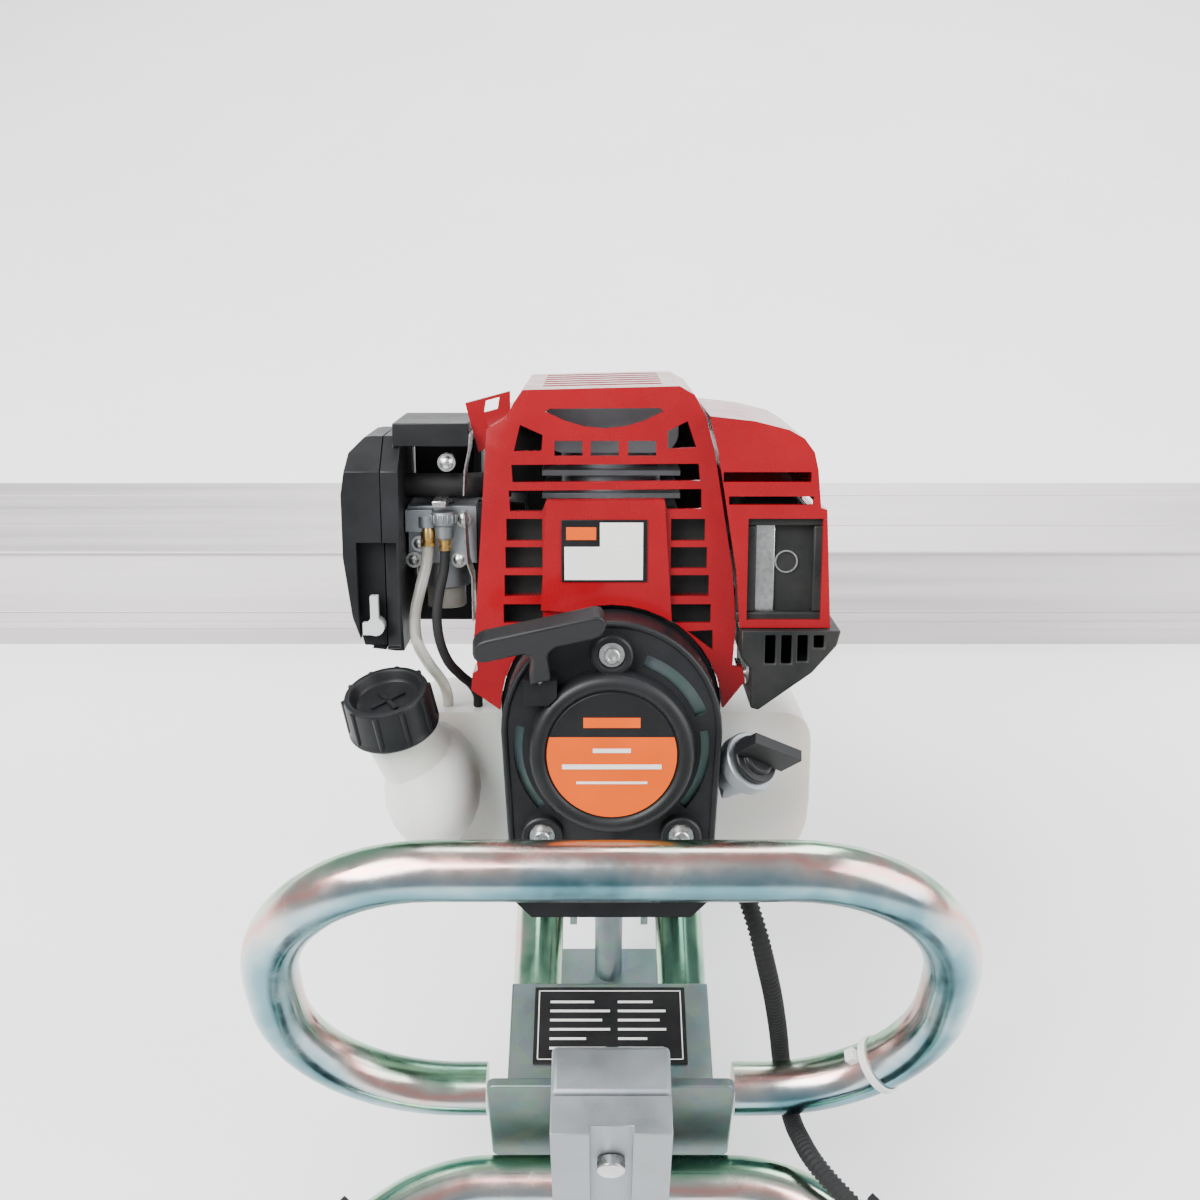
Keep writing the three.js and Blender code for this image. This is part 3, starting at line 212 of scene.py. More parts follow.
def add_lathe(bm, profile, start, direction, steps=48):
    """Turns a profile of (radius, height) points round a direction; the ends lie on the axis."""
    verts = [bm.verts.new((radius, 0, height)) for radius, height in profile]
    edges = [bm.edges.new(pair) for pair in zip(verts, verts[1:])]
    made = bmesh.ops.spin(
        bm, geom=verts + edges, cent=(0, 0, 0), axis=(0, 0, 1),
        angle=2 * math.pi, steps=steps, use_merge=True,
    )
    every = set(verts) | {v for v in made["geom_last"] if isinstance(v, bmesh.types.BMVert)}
    every |= {v for e in list(every) for edge in e.link_edges for v in edge.verts}
    grown = True
    while grown:
        more = {v for e in every for edge in e.link_edges for v in edge.verts} - every
        grown = bool(more)
        every |= more
    bmesh.ops.remove_doubles(bm, verts=list(every), dist=1e-7)
    alive = [v for v in every if v.is_valid]
    bmesh.ops.transform(bm, matrix=place_along(start, direction), verts=alive)
    return alive


def add_prism(bm, outline, depth, matrix):
    """Extrudes a flat outline of (x, y) points upwards by a depth, then moves it by a matrix."""
    verts = [bm.verts.new((x, y, 0)) for x, y in outline]
    face = bm.faces.new(verts)
    made = bmesh.ops.extrude_face_region(bm, geom=[face])
    top = [v for v in made["geom"] if isinstance(v, bmesh.types.BMVert)]
    bmesh.ops.translate(bm, vec=(0, 0, depth), verts=top)
    bmesh.ops.transform(bm, matrix=matrix, verts=verts + top)
    return verts + top


def bent_line(corners, radii, steps=10):
    """Straight runs between corners with a round bend of the given radius at each inner one."""
    points = [Vector(corners[0])]
    for corner, before, after, radius in zip(corners[1:-1], corners, corners[2:], radii):
        into = (Vector(corner) - Vector(before)).normalized()
        away = (Vector(after) - Vector(corner)).normalized()
        turn = into.angle(away)
        cut = radius * math.tan(turn / 2)
        centre = Vector(corner) + (away - into).normalized() * (radius / math.cos(turn / 2))
        arm = Vector(corner) - into * cut - centre
        axis = into.cross(away).normalized()
        for k in range(steps + 1):
            points.append(centre + Matrix.Rotation(turn * k / steps, 3, axis) @ arm)
    points.append(Vector(corners[-1]))
    return points


def ringed_tube(bm, line, radius_at, sides):
    """A tube along a line whose radius changes from ring to ring, closed at both ends."""
    tangent = (line[1] - line[0]).normalized()
    normal = tangent.orthogonal().normalized()
    rings = []
    for i, point in enumerate(line):
        ahead = (line[min(i + 1, len(line) - 1)] - line[max(i - 1, 0)]).normalized()
        normal = (tangent.rotation_difference(ahead) @ normal).normalized()
        tangent = ahead
        across = tangent.cross(normal).normalized()
        made = bmesh.ops.create_circle(bm, cap_ends=False, segments=sides, radius=radius_at(i))
        basis = Matrix((normal, across, tangent)).transposed().to_4x4()
        bmesh.ops.transform(bm, matrix=Matrix.Translation(point) @ basis, verts=made["verts"])
        rings.append([e for v in made["verts"] for e in v.link_edges])
        rings[-1] = list(dict.fromkeys(rings[-1]))
    for first, second in zip(rings, rings[1:]):
        bmesh.ops.bridge_loops(bm, edges=first + second)
    bmesh.ops.holes_fill(bm, edges=[e for e in bm.edges if e.is_boundary], sides=sides)


def tube_piece(name, points, radius, material, body, replaces=(), sides=32):
    """A round tube along points, closed at both ends."""
    bm = bmesh.new()
    ringed_tube(bm, points, lambda i: radius, sides)
    return finish_piece(name, bm, material, body, replaces, 50)


def mark_section(piece, points, radius):
    """Stores how high each vertex of a tube sits on its section, from -1 to 1, for the painted reflections on the
    plated tubes.
    """
    painted_reflection_up = Vector((0, 0.73, 0.68))  # the painted reflection's green band faces up and forward
    values = []
    for vertex in piece.data.vertices:
        near = min(range(len(points)), key=lambda i: (points[i] - vertex.co).length_squared)
        along = (points[min(near + 1, len(points) - 1)] - points[max(near - 1, 0)]).normalized()
        lean = (painted_reflection_up - along * painted_reflection_up.dot(along)).normalized()
        values.append((vertex.co - points[near]).dot(lean) / radius)
    piece.data.attributes.new("section_height", "FLOAT", "POINT").data.foreach_set("value", values)


def add_band(bm, centre, axis, radius, half_width, thickness, steps=48):
    """A closed flat band round an axis, such as a tie or a washer."""
    section = ((0, -half_width), (thickness, -half_width), (thickness, half_width), (0, half_width))
    matrix = place_along(centre, axis)
    rings = []
    for k in range(steps):
        turn = Matrix.Rotation(2 * math.pi * k / steps, 4, "Z")
        rings.append([bm.verts.new(matrix @ turn @ Vector((radius + out, 0, up))) for out, up in section])
    for ring, after in zip(rings, rings[1:] + rings[:1]):
        for a in range(4):
            b = (a + 1) % 4
            bm.faces.new((ring[a], ring[b], after[b], after[a]))


# ---- node helpers for finishes --------------------------------------------------------------------


class Finish:
    """A material under construction, with short ways to add the nodes that its pattern needs."""

    def __init__(self, name, colour, roughness, metallic=0.0, **sockets):
        self.material = bpy.data.materials.new(name)
        self.material.use_nodes = True
        self.tree = self.material.node_tree
        self.shader = self.tree.nodes["Principled BSDF"]
        self.shader.inputs["Base Color"].default_value = (*colour, 1)
        self.shader.inputs["Roughness"].default_value = roughness
        self.shader.inputs["Metallic"].default_value = metallic
        for key, value in sockets.items():
            self.shader.inputs[key.replace("_", " ")].default_value = value
        self.coordinates = self.tree.nodes.new("ShaderNodeTexCoord").outputs["Object"]

    def link(self, output, node, socket):
        self.tree.links.new(output, node.inputs[socket])

    def stretched(self, scale):
        """Object coordinates multiplied by a scale for each axis."""
        node = self.tree.nodes.new("ShaderNodeMapping")
        node.inputs["Scale"].default_value = scale
        self.link(self.coordinates, node, "Vector")
        return node.outputs["Vector"]

    def noise(self, scale, detail=4.0, roughness=0.55, stretch=None, distortion=0.0):
        node = self.tree.nodes.new("ShaderNodeTexNoise")
        node.inputs["Scale"].default_value = scale
        node.inputs["Detail"].default_value = detail
        node.inputs["Roughness"].default_value = roughness
        node.inputs["Distortion"].default_value = distortion
        self.link(self.stretched(stretch) if stretch else self.coordinates, node, "Vector")
        return node.outputs["Fac"]

    def cells(self, scale):
        node = self.tree.nodes.new("ShaderNodeTexVoronoi")
        node.inputs["Scale"].default_value = scale
        self.link(self.coordinates, node, "Vector")
        return node

    def ramp(self, value, stops):
        """Turns a value into a colour through (position, colour) stops."""
        node = self.tree.nodes.new("ShaderNodeValToRGB")
        ramp = node.color_ramp
        while len(ramp.elements) < len(stops):
            ramp.elements.new(0.5)
        for element, (position, colour) in zip(ramp.elements, stops):
            element.position = position
            element.color = (*colour, 1)
        self.link(value, node, "Fac")
        return node.outputs["Color"]

    def spread(self, value, low, high, start=0.3, end=0.7):
        """Maps a value between start and end on to the span from low to high."""
        node = self.tree.nodes.new("ShaderNodeMapRange")
        for socket, number in zip(("From Min", "From Max", "To Min", "To Max"), (start, end, low, high)):
            node.inputs[socket].default_value = number
        self.link(value, node, "Value")
        return node.outputs["Result"]

    def mix(self, factor, first, second, blend="MIX"):
        node = self.tree.nodes.new("ShaderNodeMix")
        node.data_type = "RGBA"
        node.blend_type = blend
        for socket, value in (("Factor", factor), ("A", first), ("B", second)):
            slots = [s for s in node.inputs if s.name == socket and s.enabled]
            if isinstance(value, (tuple, float, int)):
                slots[0].default_value = (*value, 1) if isinstance(value, tuple) else value
            else:
                self.tree.links.new(value, slots[0])
        return next(s for s in node.outputs if s.enabled)

    def colour(self, output):
        self.link(output, self.shader, "Base Color")

    def rough(self, output):
        self.link(output, self.shader, "Roughness")

    def bump(self, height, strength, distance=0.0003):
        node = self.tree.nodes.new("ShaderNodeBump")
        node.inputs["Strength"].default_value = strength
        node.inputs["Distance"].default_value = distance
        self.link(height, node, "Height")
        self.link(node.outputs["Normal"], self.shader, "Normal")


def shade(colour, factor):
    return tuple(min(1.0, c * factor) for c in colour)


def mill_aluminium():
    base = (0.62, 0.585, 0.58)
    f = Finish("mill_aluminium", base, 0.55, 0.55)
    streaks = f.noise(30, 6, 0.6, stretch=(0.06, 3.0, 3.0))
    stains = f.noise(5, 3, 0.5)
    tone = f.ramp(streaks, [(0.3, shade(base, 0.84)), (0.7, shade(base, 1.10))])
    f.colour(f.mix(f.spread(stains, 0.0, 0.35), tone, shade(base, 0.8)))
    f.rough(f.spread(streaks, 0.42, 0.62))
    f.bump(streaks, 0.15, 0.0002)
    return f.material


def cast_aluminium():
    base = (0.31, 0.33, 0.35)
    f = Finish("cast_aluminium", base, 0.42, 0.9)
    grain = f.noise(900, 3, 0.6)
    cloud = f.noise(25, 4, 0.55)
    f.colour(f.ramp(cloud, [(0.3, shade(base, 0.82)), (0.7, shade(base, 1.15))]))
    f.rough(f.spread(cloud, 0.42, 0.6))
    f.bump(grain, 0.35, 0.0002)
    return f.material


def zinc_tube():
    f = Finish("zinc_tube", (0.72, 0.72, 0.70), 0.2, 1.0)
    # Painted reflection: bands of colour run round each tube, set by its section height and swayed by a noise.
    height = f.tree.nodes.new("ShaderNodeAttribute")
    height.attribute_name = "section_height"
    cloud = f.noise(9, 4, 0.6, distortion=0.5)
    sway = f.spread(cloud, 0.05, 0.55)
    painted_reflection_band = f.tree.nodes.new("ShaderNodeMath")
    painted_reflection_band.operation = "MULTIPLY_ADD"
    f.link(height.outputs["Fac"], painted_reflection_band, 0)
    painted_reflection_band.inputs[1].default_value = 0.42
    f.link(sway, painted_reflection_band, 2)
    shift = f.tree.nodes.new("ShaderNodeMath")
    shift.operation = "ADD"
    f.link(painted_reflection_band.outputs[0], shift, 0)
    shift.inputs[1].default_value = 0.2
    # Painted reflection and highlight: dark teal underneath, pale blue-grey, a pink highlight across the middle,
    # then green towards the top.
    painted_reflection = f.ramp(
        shift.outputs[0],
        [
            (0.0, (0.05, 0.11, 0.13)),
            (0.16, (0.12, 0.26, 0.30)),
            (0.32, (0.34, 0.44, 0.48)),
            (0.46, (0.58, 0.53, 0.50)),
            (0.58, (0.74, 0.40, 0.36)),
            (0.70, (0.58, 0.60, 0.52)),
            (0.84, (0.28, 0.52, 0.34)),
            (1.0, (0.10, 0.22, 0.16)),
        ],
    )
    f.colour(painted_reflection)
    f.rough(f.spread(f.noise(60, 5, 0.6), 0.13, 0.3))
    f.bump(f.noise(260, 3, 0.5), 0.06, 0.0002)
    return f.material


def galvanised():
    base = (0.25, 0.30, 0.295)
    f = Finish("galvanised_sheet", base, 0.42, 0.9)
    spangle = f.cells(130).outputs["Color"]
    cloud = f.noise(18, 4, 0.55)
    tone = f.ramp(cloud, [(0.3, (0.11, 0.16, 0.17)), (0.55, (0.18, 0.23, 0.22)), (0.75, (0.25, 0.27, 0.25))])
    f.colour(f.mix(0.12, tone, spangle, "SOFT_LIGHT"))
    f.rough(f.spread(cloud, 0.34, 0.52))
    f.bump(f.noise(120, 4, 0.6), 0.08, 0.0002)
    return f.material


def red_gloss():
    base = (0.24, 0.0015, 0.006)
    coat = {"Coat_Weight": 0.3, "Coat_Roughness": 0.1}
    f = Finish("red_gloss_plastic", base, 0.26, 0.0, Specular_IOR_Level=0.35, **coat)
    cloud = f.noise(22, 4, 0.6)
    f.colour(f.ramp(cloud, [(0.25, shade(base, 0.88)), (0.75, shade(base, 1.12))]))
    f.rough(f.spread(f.noise(70, 5, 0.65), 0.18, 0.34))
    f.bump(f.noise(420, 2, 0.4), 0.05, 0.0002)
    return f.material


def black_satin():
    base = (0.007, 0.0075, 0.0085)
    f = Finish("black_satin_plastic", base, 0.42, 0.0, Specular_IOR_Level=0.3)
    cloud = f.noise(28, 4, 0.6)
    f.colour(f.ramp(cloud, [(0.3, shade(base, 0.8)), (0.72, shade(base, 1.6))]))
    f.rough(f.spread(cloud, 0.34, 0.52))
    f.bump(f.noise(1400, 2, 0.5), 0.25, 0.00015)
    return f.material


def black_heat_paint():
    base = (0.010, 0.012, 0.012)
    f = Finish("black_heat_paint", base, 0.5, 0.1, Specular_IOR_Level=0.3)
    cloud = f.noise(30, 5, 0.6)
    f.colour(f.ramp(cloud, [(0.35, base), (0.7, (0.024, 0.023, 0.021))]))
    f.rough(f.spread(cloud, 0.42, 0.62))
    f.bump(f.noise(600, 3, 0.6), 0.3, 0.0002)
    return f.material


def tank_plastic():
    base = (0.74, 0.74, 0.70)
    f = Finish(
        "milky_tank_plastic",
        base,
        0.34,
        0.0,
        Subsurface_Weight=0.35,
        Subsurface_Scale=0.02,
        Transmission_Weight=0.08,
    )
    cloud = f.noise(14, 3, 0.5)
    f.colour(f.ramp(cloud, [(0.3, (0.68, 0.68, 0.63)), (0.7, (0.80, 0.80, 0.77))]))
    f.rough(f.spread(f.noise(90, 4, 0.6), 0.28, 0.42))
    f.bump(f.noise(500, 2, 0.5), 0.08, 0.0002)
    return f.material


def rubber():
    base = (0.008, 0.008, 0.009)
    f = Finish("black_rubber", base, 0.7, 0.0, Specular_IOR_Level=0.3)
    cloud = f.noise(40, 4, 0.6)
    f.colour(f.ramp(cloud, [(0.3, base), (0.75, (0.020, 0.020, 0.020))]))
    f.rough(f.spread(cloud, 0.62, 0.85))
    f.bump(f.noise(1200, 2, 0.5), 0.3, 0.0002)
    return f.material


def bright_steel():
    base = (0.62, 0.62, 0.61)
    f = Finish("bright_steel", base, 0.3, 1.0)
    turning = f.noise(500, 3, 0.5)
    f.colour(f.ramp(f.noise(40, 4, 0.6), [(0.3, shade(base, 0.8)), (0.7, shade(base, 1.15))]))
    f.rough(f.spread(turning, 0.22, 0.4))
    f.bump(turning, 0.08, 0.0001)
    return f.material


def clear_hose():
    base = (0.58, 0.57, 0.50)
    f = Finish("clear_hose", base, 0.14, 0.0, Transmission_Weight=0.55, IOR=1.42)
    f.colour(f.ramp(f.noise(60, 3, 0.5), [(0.3, (0.50, 0.48, 0.40)), (0.7, (0.66, 0.65, 0.60))]))
    f.bump(f.noise(300, 2, 0.5), 0.05, 0.0002)
    return f.material


def black_print():
    base = (0.006, 0.006, 0.007)
    f = Finish("black_label_film", base, 0.4, 0.0, Specular_IOR_Level=0.25)
    f.colour(f.ramp(f.noise(55, 3, 0.5), [(0.3, base), (0.7, (0.012, 0.012, 0.013))]))
    f.rough(f.spread(f.noise(25, 4, 0.6), 0.25, 0.45))
    f.bump(f.noise(500, 2, 0.5), 0.06, 0.0001)
    return f.material


# Plain finishes of a slot: name, colour, roughness, metallic, how dark and light the colour wanders,
# the scales of its clouds and of its grain, the grain's strength, and any other socket.
PLAIN_FINISHES = {
    "grey_plastic": ("grey_plastic", (0.52, 0.54, 0.53), 0.45, 0.0, (0.9, 1.08), (60, 1300), 0.15, {}),
    "white_plastic": ("white_nylon", (0.78, 0.78, 0.76), 0.4, 0.0, (0.92, 1.05), (70, 900), 0.12, {}),
    "brass": ("brass", (0.78, 0.52, 0.18), 0.28, 1.0, (0.85, 1.12), (60, 600), 0.08, {}),
    "orange_print": (
        "orange_badge", (0.66, 0.085, 0.0005), 0.4, 0.0,
        (0.93, 1.05), (45, 800), 0.06, {"Specular_IOR_Level": 0.2},
    ),
    "white_print": ("white_label_film", (0.78, 0.77, 0.74), 0.38, 0.0, (0.94, 1.03), (45, 500), 0.06, {}),
}


def plain_finish(slot):
    """A finish whose colour wanders a little and whose face is finely grained."""
    name, base, roughness, metallic, (dark, light), (clouds, grain), strength, sockets = PLAIN_FINISHES[slot]
    f = Finish(name, base, roughness, metallic, **sockets)
    f.colour(f.ramp(f.noise(clouds, 3, 0.5), [(0.3, shade(base, dark)), (0.7, shade(base, light))]))
    f.bump(f.noise(grain, 2, 0.5), strength, 0.0001)
    return f.material


FINISH_MAKERS = {
    "blade_aluminium": mill_aluminium,
    "cast_aluminium": cast_aluminium,
    "zinc_tube": zinc_tube,
    "galvanised_steel": galvanised,
    "red_cover": red_gloss,
    "black_plastic": black_satin,
    "black_steel": black_heat_paint,
    "tank_plastic": tank_plastic,
    "black_rubber": rubber,
    "bright_steel": bright_steel,
    "clear_hose": clear_hose,
    "black_print": black_print,
}
FINISHES = {}


def finish(slot):
    """The finish of a slot, made the first time that it is asked for."""
    if slot not in FINISHES:
        FINISHES[slot] = FINISH_MAKERS[slot]() if slot in FINISH_MAKERS else plain_finish(slot)
    return FINISHES[slot]


# ---- sizes that a user would change ---------------------------------------------------------------


class ScreedStage(PropertyGroup):
    camera_place: FloatVectorProperty(
        name="Camera place",
        description="Where the camera stands",
        default=(-0.005, -0.85, 0.771),
        subtype="XYZ",
    )
    camera_dip: FloatProperty(
        name="Camera dip",
        description="How far the camera looks down",
        default=math.radians(42.6),
        subtype="ANGLE",
    )
    lens: FloatProperty(name="Lens", description="Focal length on a 36 mm sensor", default=44.5)
    key_power: FloatProperty(
        name="Key light", description="Power of the main light in watts", default=115.0
    )
    fill_power: FloatProperty(
        name="Fill light", description="Power of the fill light in watts", default=60.0
    )
    sky: FloatProperty(name="Sky", description="Strength of the surrounding light", default=0.55)
    floor_colour: FloatVectorProperty(
        name="Floor colour",
        description="Colour of the pale floor",
        default=(0.93, 0.93, 0.925),
        subtype="COLOR",
    )


class ScreedSizes(PropertyGroup):
    tube_radius: FloatProperty(
        name="Tube radius", description="Radius of the frame's tube", default=12.7 * MM, subtype="DISTANCE"
    )
    tube_sides: IntProperty(name="Tube sides", description="Sides of a tube's section", default=40, min=12)


def stage_settings():
    return bpy.context.scene.screed_stage


def sizes():
    return bpy.context.scene.screed_sizes


class SCREED_OT_stage(Operator):
    """Adds the pale floor, the soft lights and the camera"""

    bl_idname = "screed.stage"
    bl_label = "Stage"

    def execute(self, context):
        setup = stage_settings()
        self.floor(setup)
        machine = (0, -0.3, 0.15)
        self.light("key_light", (-1.1, -0.9, 1.9), machine, setup.key_power, 1.5)
        self.light("fill_light", (1.7, -0.6, 1.3), machine, setup.fill_power, 1.8)
        self.light("rim_light", (0.3, 1.5, 1.6), (0, -0.3, 0.2), setup.key_power * 0.5, 1.6)
        world = bpy.data.worlds.new("studio")
        world.use_nodes = True
        world.node_tree.nodes["Background"].inputs["Color"].default_value = (0.93, 0.96, 1.0, 1)
        world.node_tree.nodes["Background"].inputs["Strength"].default_value = setup.sky
        context.scene.world = world
        self.camera(setup)
        return {"FINISHED"}

    def floor(self, setup):
        bm = bmesh.new()
        bmesh.ops.create_grid(bm, x_segments=1, y_segments=1, size=12)
        mesh = bpy.data.meshes.new("floor")
        bm.to_mesh(mesh)
        bm.free()
        floor = bpy.data.objects.new("floor", mesh)
        bpy.context.scene.collection.objects.link(floor)
        tone = tuple(setup.floor_colour)
        f = Finish("pale_floor", tone, 0.7)
        f.colour(f.ramp(f.noise(3, 5, 0.6), [(0.3, shade(tone, 0.97)), (0.7, shade(tone, 1.03))]))
        f.bump(f.noise(90, 4, 0.6), 0.05, 0.0005)
        mesh.materials.append(f.material)

    def light(self, name, place, target, power, size):
        data = bpy.data.lights.new(name, "AREA")
        data.energy = power
        data.size = size
        lamp = bpy.data.objects.new(name, data)
        lamp.location = place
        lamp.rotation_euler = (Vector(target) - Vector(place)).to_track_quat("-Z", "Y").to_euler()
        bpy.context.scene.collection.objects.link(lamp)

    def camera(self, setup):
        data = bpy.data.cameras.new("camera")
        data.lens = setup.lens
        data.sensor_width = 36
        camera = bpy.data.objects.new("camera", data)
        camera.location = setup.camera_place
        camera.rotation_euler = (math.pi / 2 - setup.camera_dip, 0, 0)
        bpy.context.scene.collection.objects.link(camera)
        bpy.context.scene.camera = camera


# ---- cast, moulded and pressed pieces -------------------------------------------------------------

# Nodes that other operators model afresh.
MODELLED = {
    "carry_loop_left", "carry_loop_right", "handlebar",
    "frame_tube_left", "frame_tube_right", "drive_tube",
    "fuel_hose", "return_hose", "throttle_conduit", "starter_grip", "fuel_cap", "oil_cap",
    "grip_left", "grip_right",
}

# Edge rounding of a node in millimetres, and its steps, where it isn't the usual one.
USUAL_EDGE = (0.7, 2)
EDGES = {
    "clamp_front": (2.6, 4),
    "clamp_rear": (2.6, 4),
    "fuel_tank": (5.0, 5),
    "top_cover": (1.1, 3),
    "muffler_cover": (1.1, 3),
    "air_cleaner_cover": (1.6, 3),
    "air_cleaner_base": (1.2, 3),
    "starter_cover": (0.9, 3),
    "rear_plate": (0.9, 3),
    "crankcase": (1.5, 3),
    "exciter_housing": (1.5, 3),
    "throttle_arm": (0.4, 2),
    "choke_lever": (0.5, 2),
    "starter_reel": (0.4, 2),
    "recoil_spring": (0.3, 1),
    "blade": (0.5, 2),
}


class SCREED_OT_dressed(Operator):
    """Rounds the edges of the cast, moulded and pressed pieces and gives them their finish"""

    bl_idname = "screed.dressed"
    bl_label = "Cast and moulded pieces"

    def execute(self, context):
        for node in frame["nodes"]:
            if node not in MODELLED:
                width, segments = EDGES.get(node, USUAL_EDGE)
                dress(node, finish(SLOT_OF[node]), width * MM, segments)
        return {"FINISHED"}


# ---- tubes ----------------------------------------------------------------------------------------


def pair_box(first, second):
    """The box round two frame nodes."""
    boxes = [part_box(first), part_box(second)]
    low = Vector(map(min, boxes[0][0], boxes[1][0]))
    high = Vector(map(max, boxes[0][1], boxes[1][1]))
    return low, high


def loop_line():
    """The carry loop's centre line, from its frame nodes' box."""
    low, high = pair_box("carry_loop_left", "carry_loop_right")
    r = sizes().tube_radius
    half, y, bottom, top = high.x - r, (low.y + high.y) / 2, low.z + r, high.z - r
    left = [(-LOOP_FOOT, bottom), (-half, bottom), (-half, top)]
    corners = left + [(-x, z) for x, z in reversed(left)]
    return bent_line([Vector((x, y, z)) for x, z in corners], [BEND_RADIUS] * 4, 14)


def handlebar_corners():
    """The handlebar's corner points, from the axis that it tilts on."""
    y, z = JOINTS["handle_tilt"]["pos_m"][1:]
    corner = HANDLE_STRAIGHT + BEND_RADIUS * math.tan(HANDLE_BEND / 2)
    end_x = HANDLE_STRAIGHT + BEND_RADIUS * math.sin(HANDLE_BEND) + HANDLE_REACH * math.cos(HANDLE_BEND)
    end_y = y - BEND_RADIUS * (1 - math.cos(HANDLE_BEND)) - HANDLE_REACH * math.sin(HANDLE_BEND)
    return [Vector(p) for p in ((-end_x, end_y, z), (-corner, y, z), (corner, y, z), (end_x, end_y, z))]


class SCREED_OT_tubes(Operator):
    """Draws the frame's plated tubes round and smooth"""

    bl_idname = "screed.tubes"
    bl_label = "Frame tubes"

    def execute(self, context):
        r, sides = sizes().tube_radius, sizes().tube_sides
        halves = ("carry_loop_left", "carry_loop_right")
        self.plated("carry_loop_tube", loop_line(), r, "machine", halves, sides)
        bar = bent_line(handlebar_corners(), [BEND_RADIUS] * 2)
        self.plated("handlebar_tube", bar, r - HANDLE_CLEARANCE, "handle", ("handlebar",), sides)
        for node in ("frame_tube_left", "frame_tube_right"):
            low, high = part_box(node)
            x, z = (low.x + high.x) / 2, (low.z + high.z) / 2
            ends = [Vector((x, low.y, z)), Vector((x, high.y, z))]
            self.plated(node + "_round", ends, r, "machine", (node,), sides)
        self.drive_tube()
        return {"FINISHED"}

    def plated(self, name, line, radius, body, nodes, sides):
        tube = tube_piece(name, line, radius, finish("zinc_tube"), body, nodes, sides)
        mark_section(tube, line, radius)

    def drive_tube(self):
        low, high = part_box("drive_tube")
        r = (high.x - low.x) / 2
        axis_z = JOINTS["eccentric_spin"]["pos_m"][2]
        start = engine_point(0, DRIVE_START, 0)
        corner_y = start.y + (start.z - axis_z) / -CRANK_AXIS.z * CRANK_AXIS.y
        corners = [start, (0, corner_y, axis_z), (0, high.y, axis_z)]
        line = bent_line(corners, [DRIVE_BEND])
        slot = "blade_aluminium"
        tube_piece("drive_tube_round", line, r, finish(slot), "machine", ("drive_tube",), 40)


# ---- hoses and the throttle conduit ---------------------------------------------------------------

FUEL_HOSE = (
    (-81.7, 45.5, 80), (-82.6, 43, 71), (-85, 39, 61), (-87.2, 36, 50), (-86.4, 35, 38),
    (-82, 41, 26), (-79, 50, 18), (-77, 57, 11), (-76, 60, 5), (-76, 60.5, 1),
)
RETURN_HOSE = (
    (-74.2, 45.5, 78), (-74.6, 43, 69), (-76.6, 39, 59), (-77.6, 36.5, 49), (-76.4, 36, 38), (-73, 38, 28),
    (-68, 44, 20), (-64, 53, 13), (-62, 59, 6), (-62, 60, 1),
)
CONDUIT = (
    (53, -331, 146), (55, -347, 153), (58, -365, 162), (60, -385, 173), (61, -402, 184),
    (62.5, -418, 192), (65, -433, 194), (69, -445, 187), (73, -453, 173), (77, -456, 155),
    (80.5, -457, 135), (83.5, -457, 115), (85.5, -457.5, 100), (87.5, -463, 88),
    (89, -475, 84), (90, -487, 88), (91.5, -500, 97), (95, -513, 103), (101, -523, 104),
)


def smooth_line(points, steps):
    """A centripetal Catmull-Rom curve through points, sampled evenly along its length."""
    points = [Vector(p) for p in points]
    ends = [2 * points[0] - points[1], *points, 2 * points[-1] - points[-2]]
    fine = []
    per_span = 16
    for a, b, c, d in zip(ends, ends[1:], ends[2:], ends[3:]):
        knots = [0.0]
        for p, q in ((a, b), (b, c), (c, d)):
            knots.append(knots[-1] + math.sqrt((q - p).length))
        for k in range(per_span):
            t = knots[1] + (knots[2] - knots[1]) * k / per_span
            fine.append(catmull(a, b, c, d, knots, t))
    fine.append(points[-1])
    reach = [0.0]
    for p, q in zip(fine, fine[1:]):
        reach.append(reach[-1] + (q - p).length)
    even, at = [], 0
    for k in range(steps + 1):
        target = reach[-1] * k / steps
        while at < len(reach) - 2 and reach[at + 1] < target:
            at += 1
        share = (target - reach[at]) / max(reach[at + 1] - reach[at], 1e-12)
        even.append(fine[at].lerp(fine[at + 1], min(share, 1.0)))
    return even


def catmull(a, b, c, d, knots, t):
    def between(p, q, i, j):
        return p * ((knots[j] - t) / (knots[j] - knots[i])) + q * ((t - knots[i]) / (knots[j] - knots[i]))

    ab, bc, cd = between(a, b, 0, 1), between(b, c, 1, 2), between(c, d, 2, 3)
    abc, bcd = between(ab, bc, 0, 2), between(bc, cd, 1, 3)
    return between(abc, bcd, 1, 2)


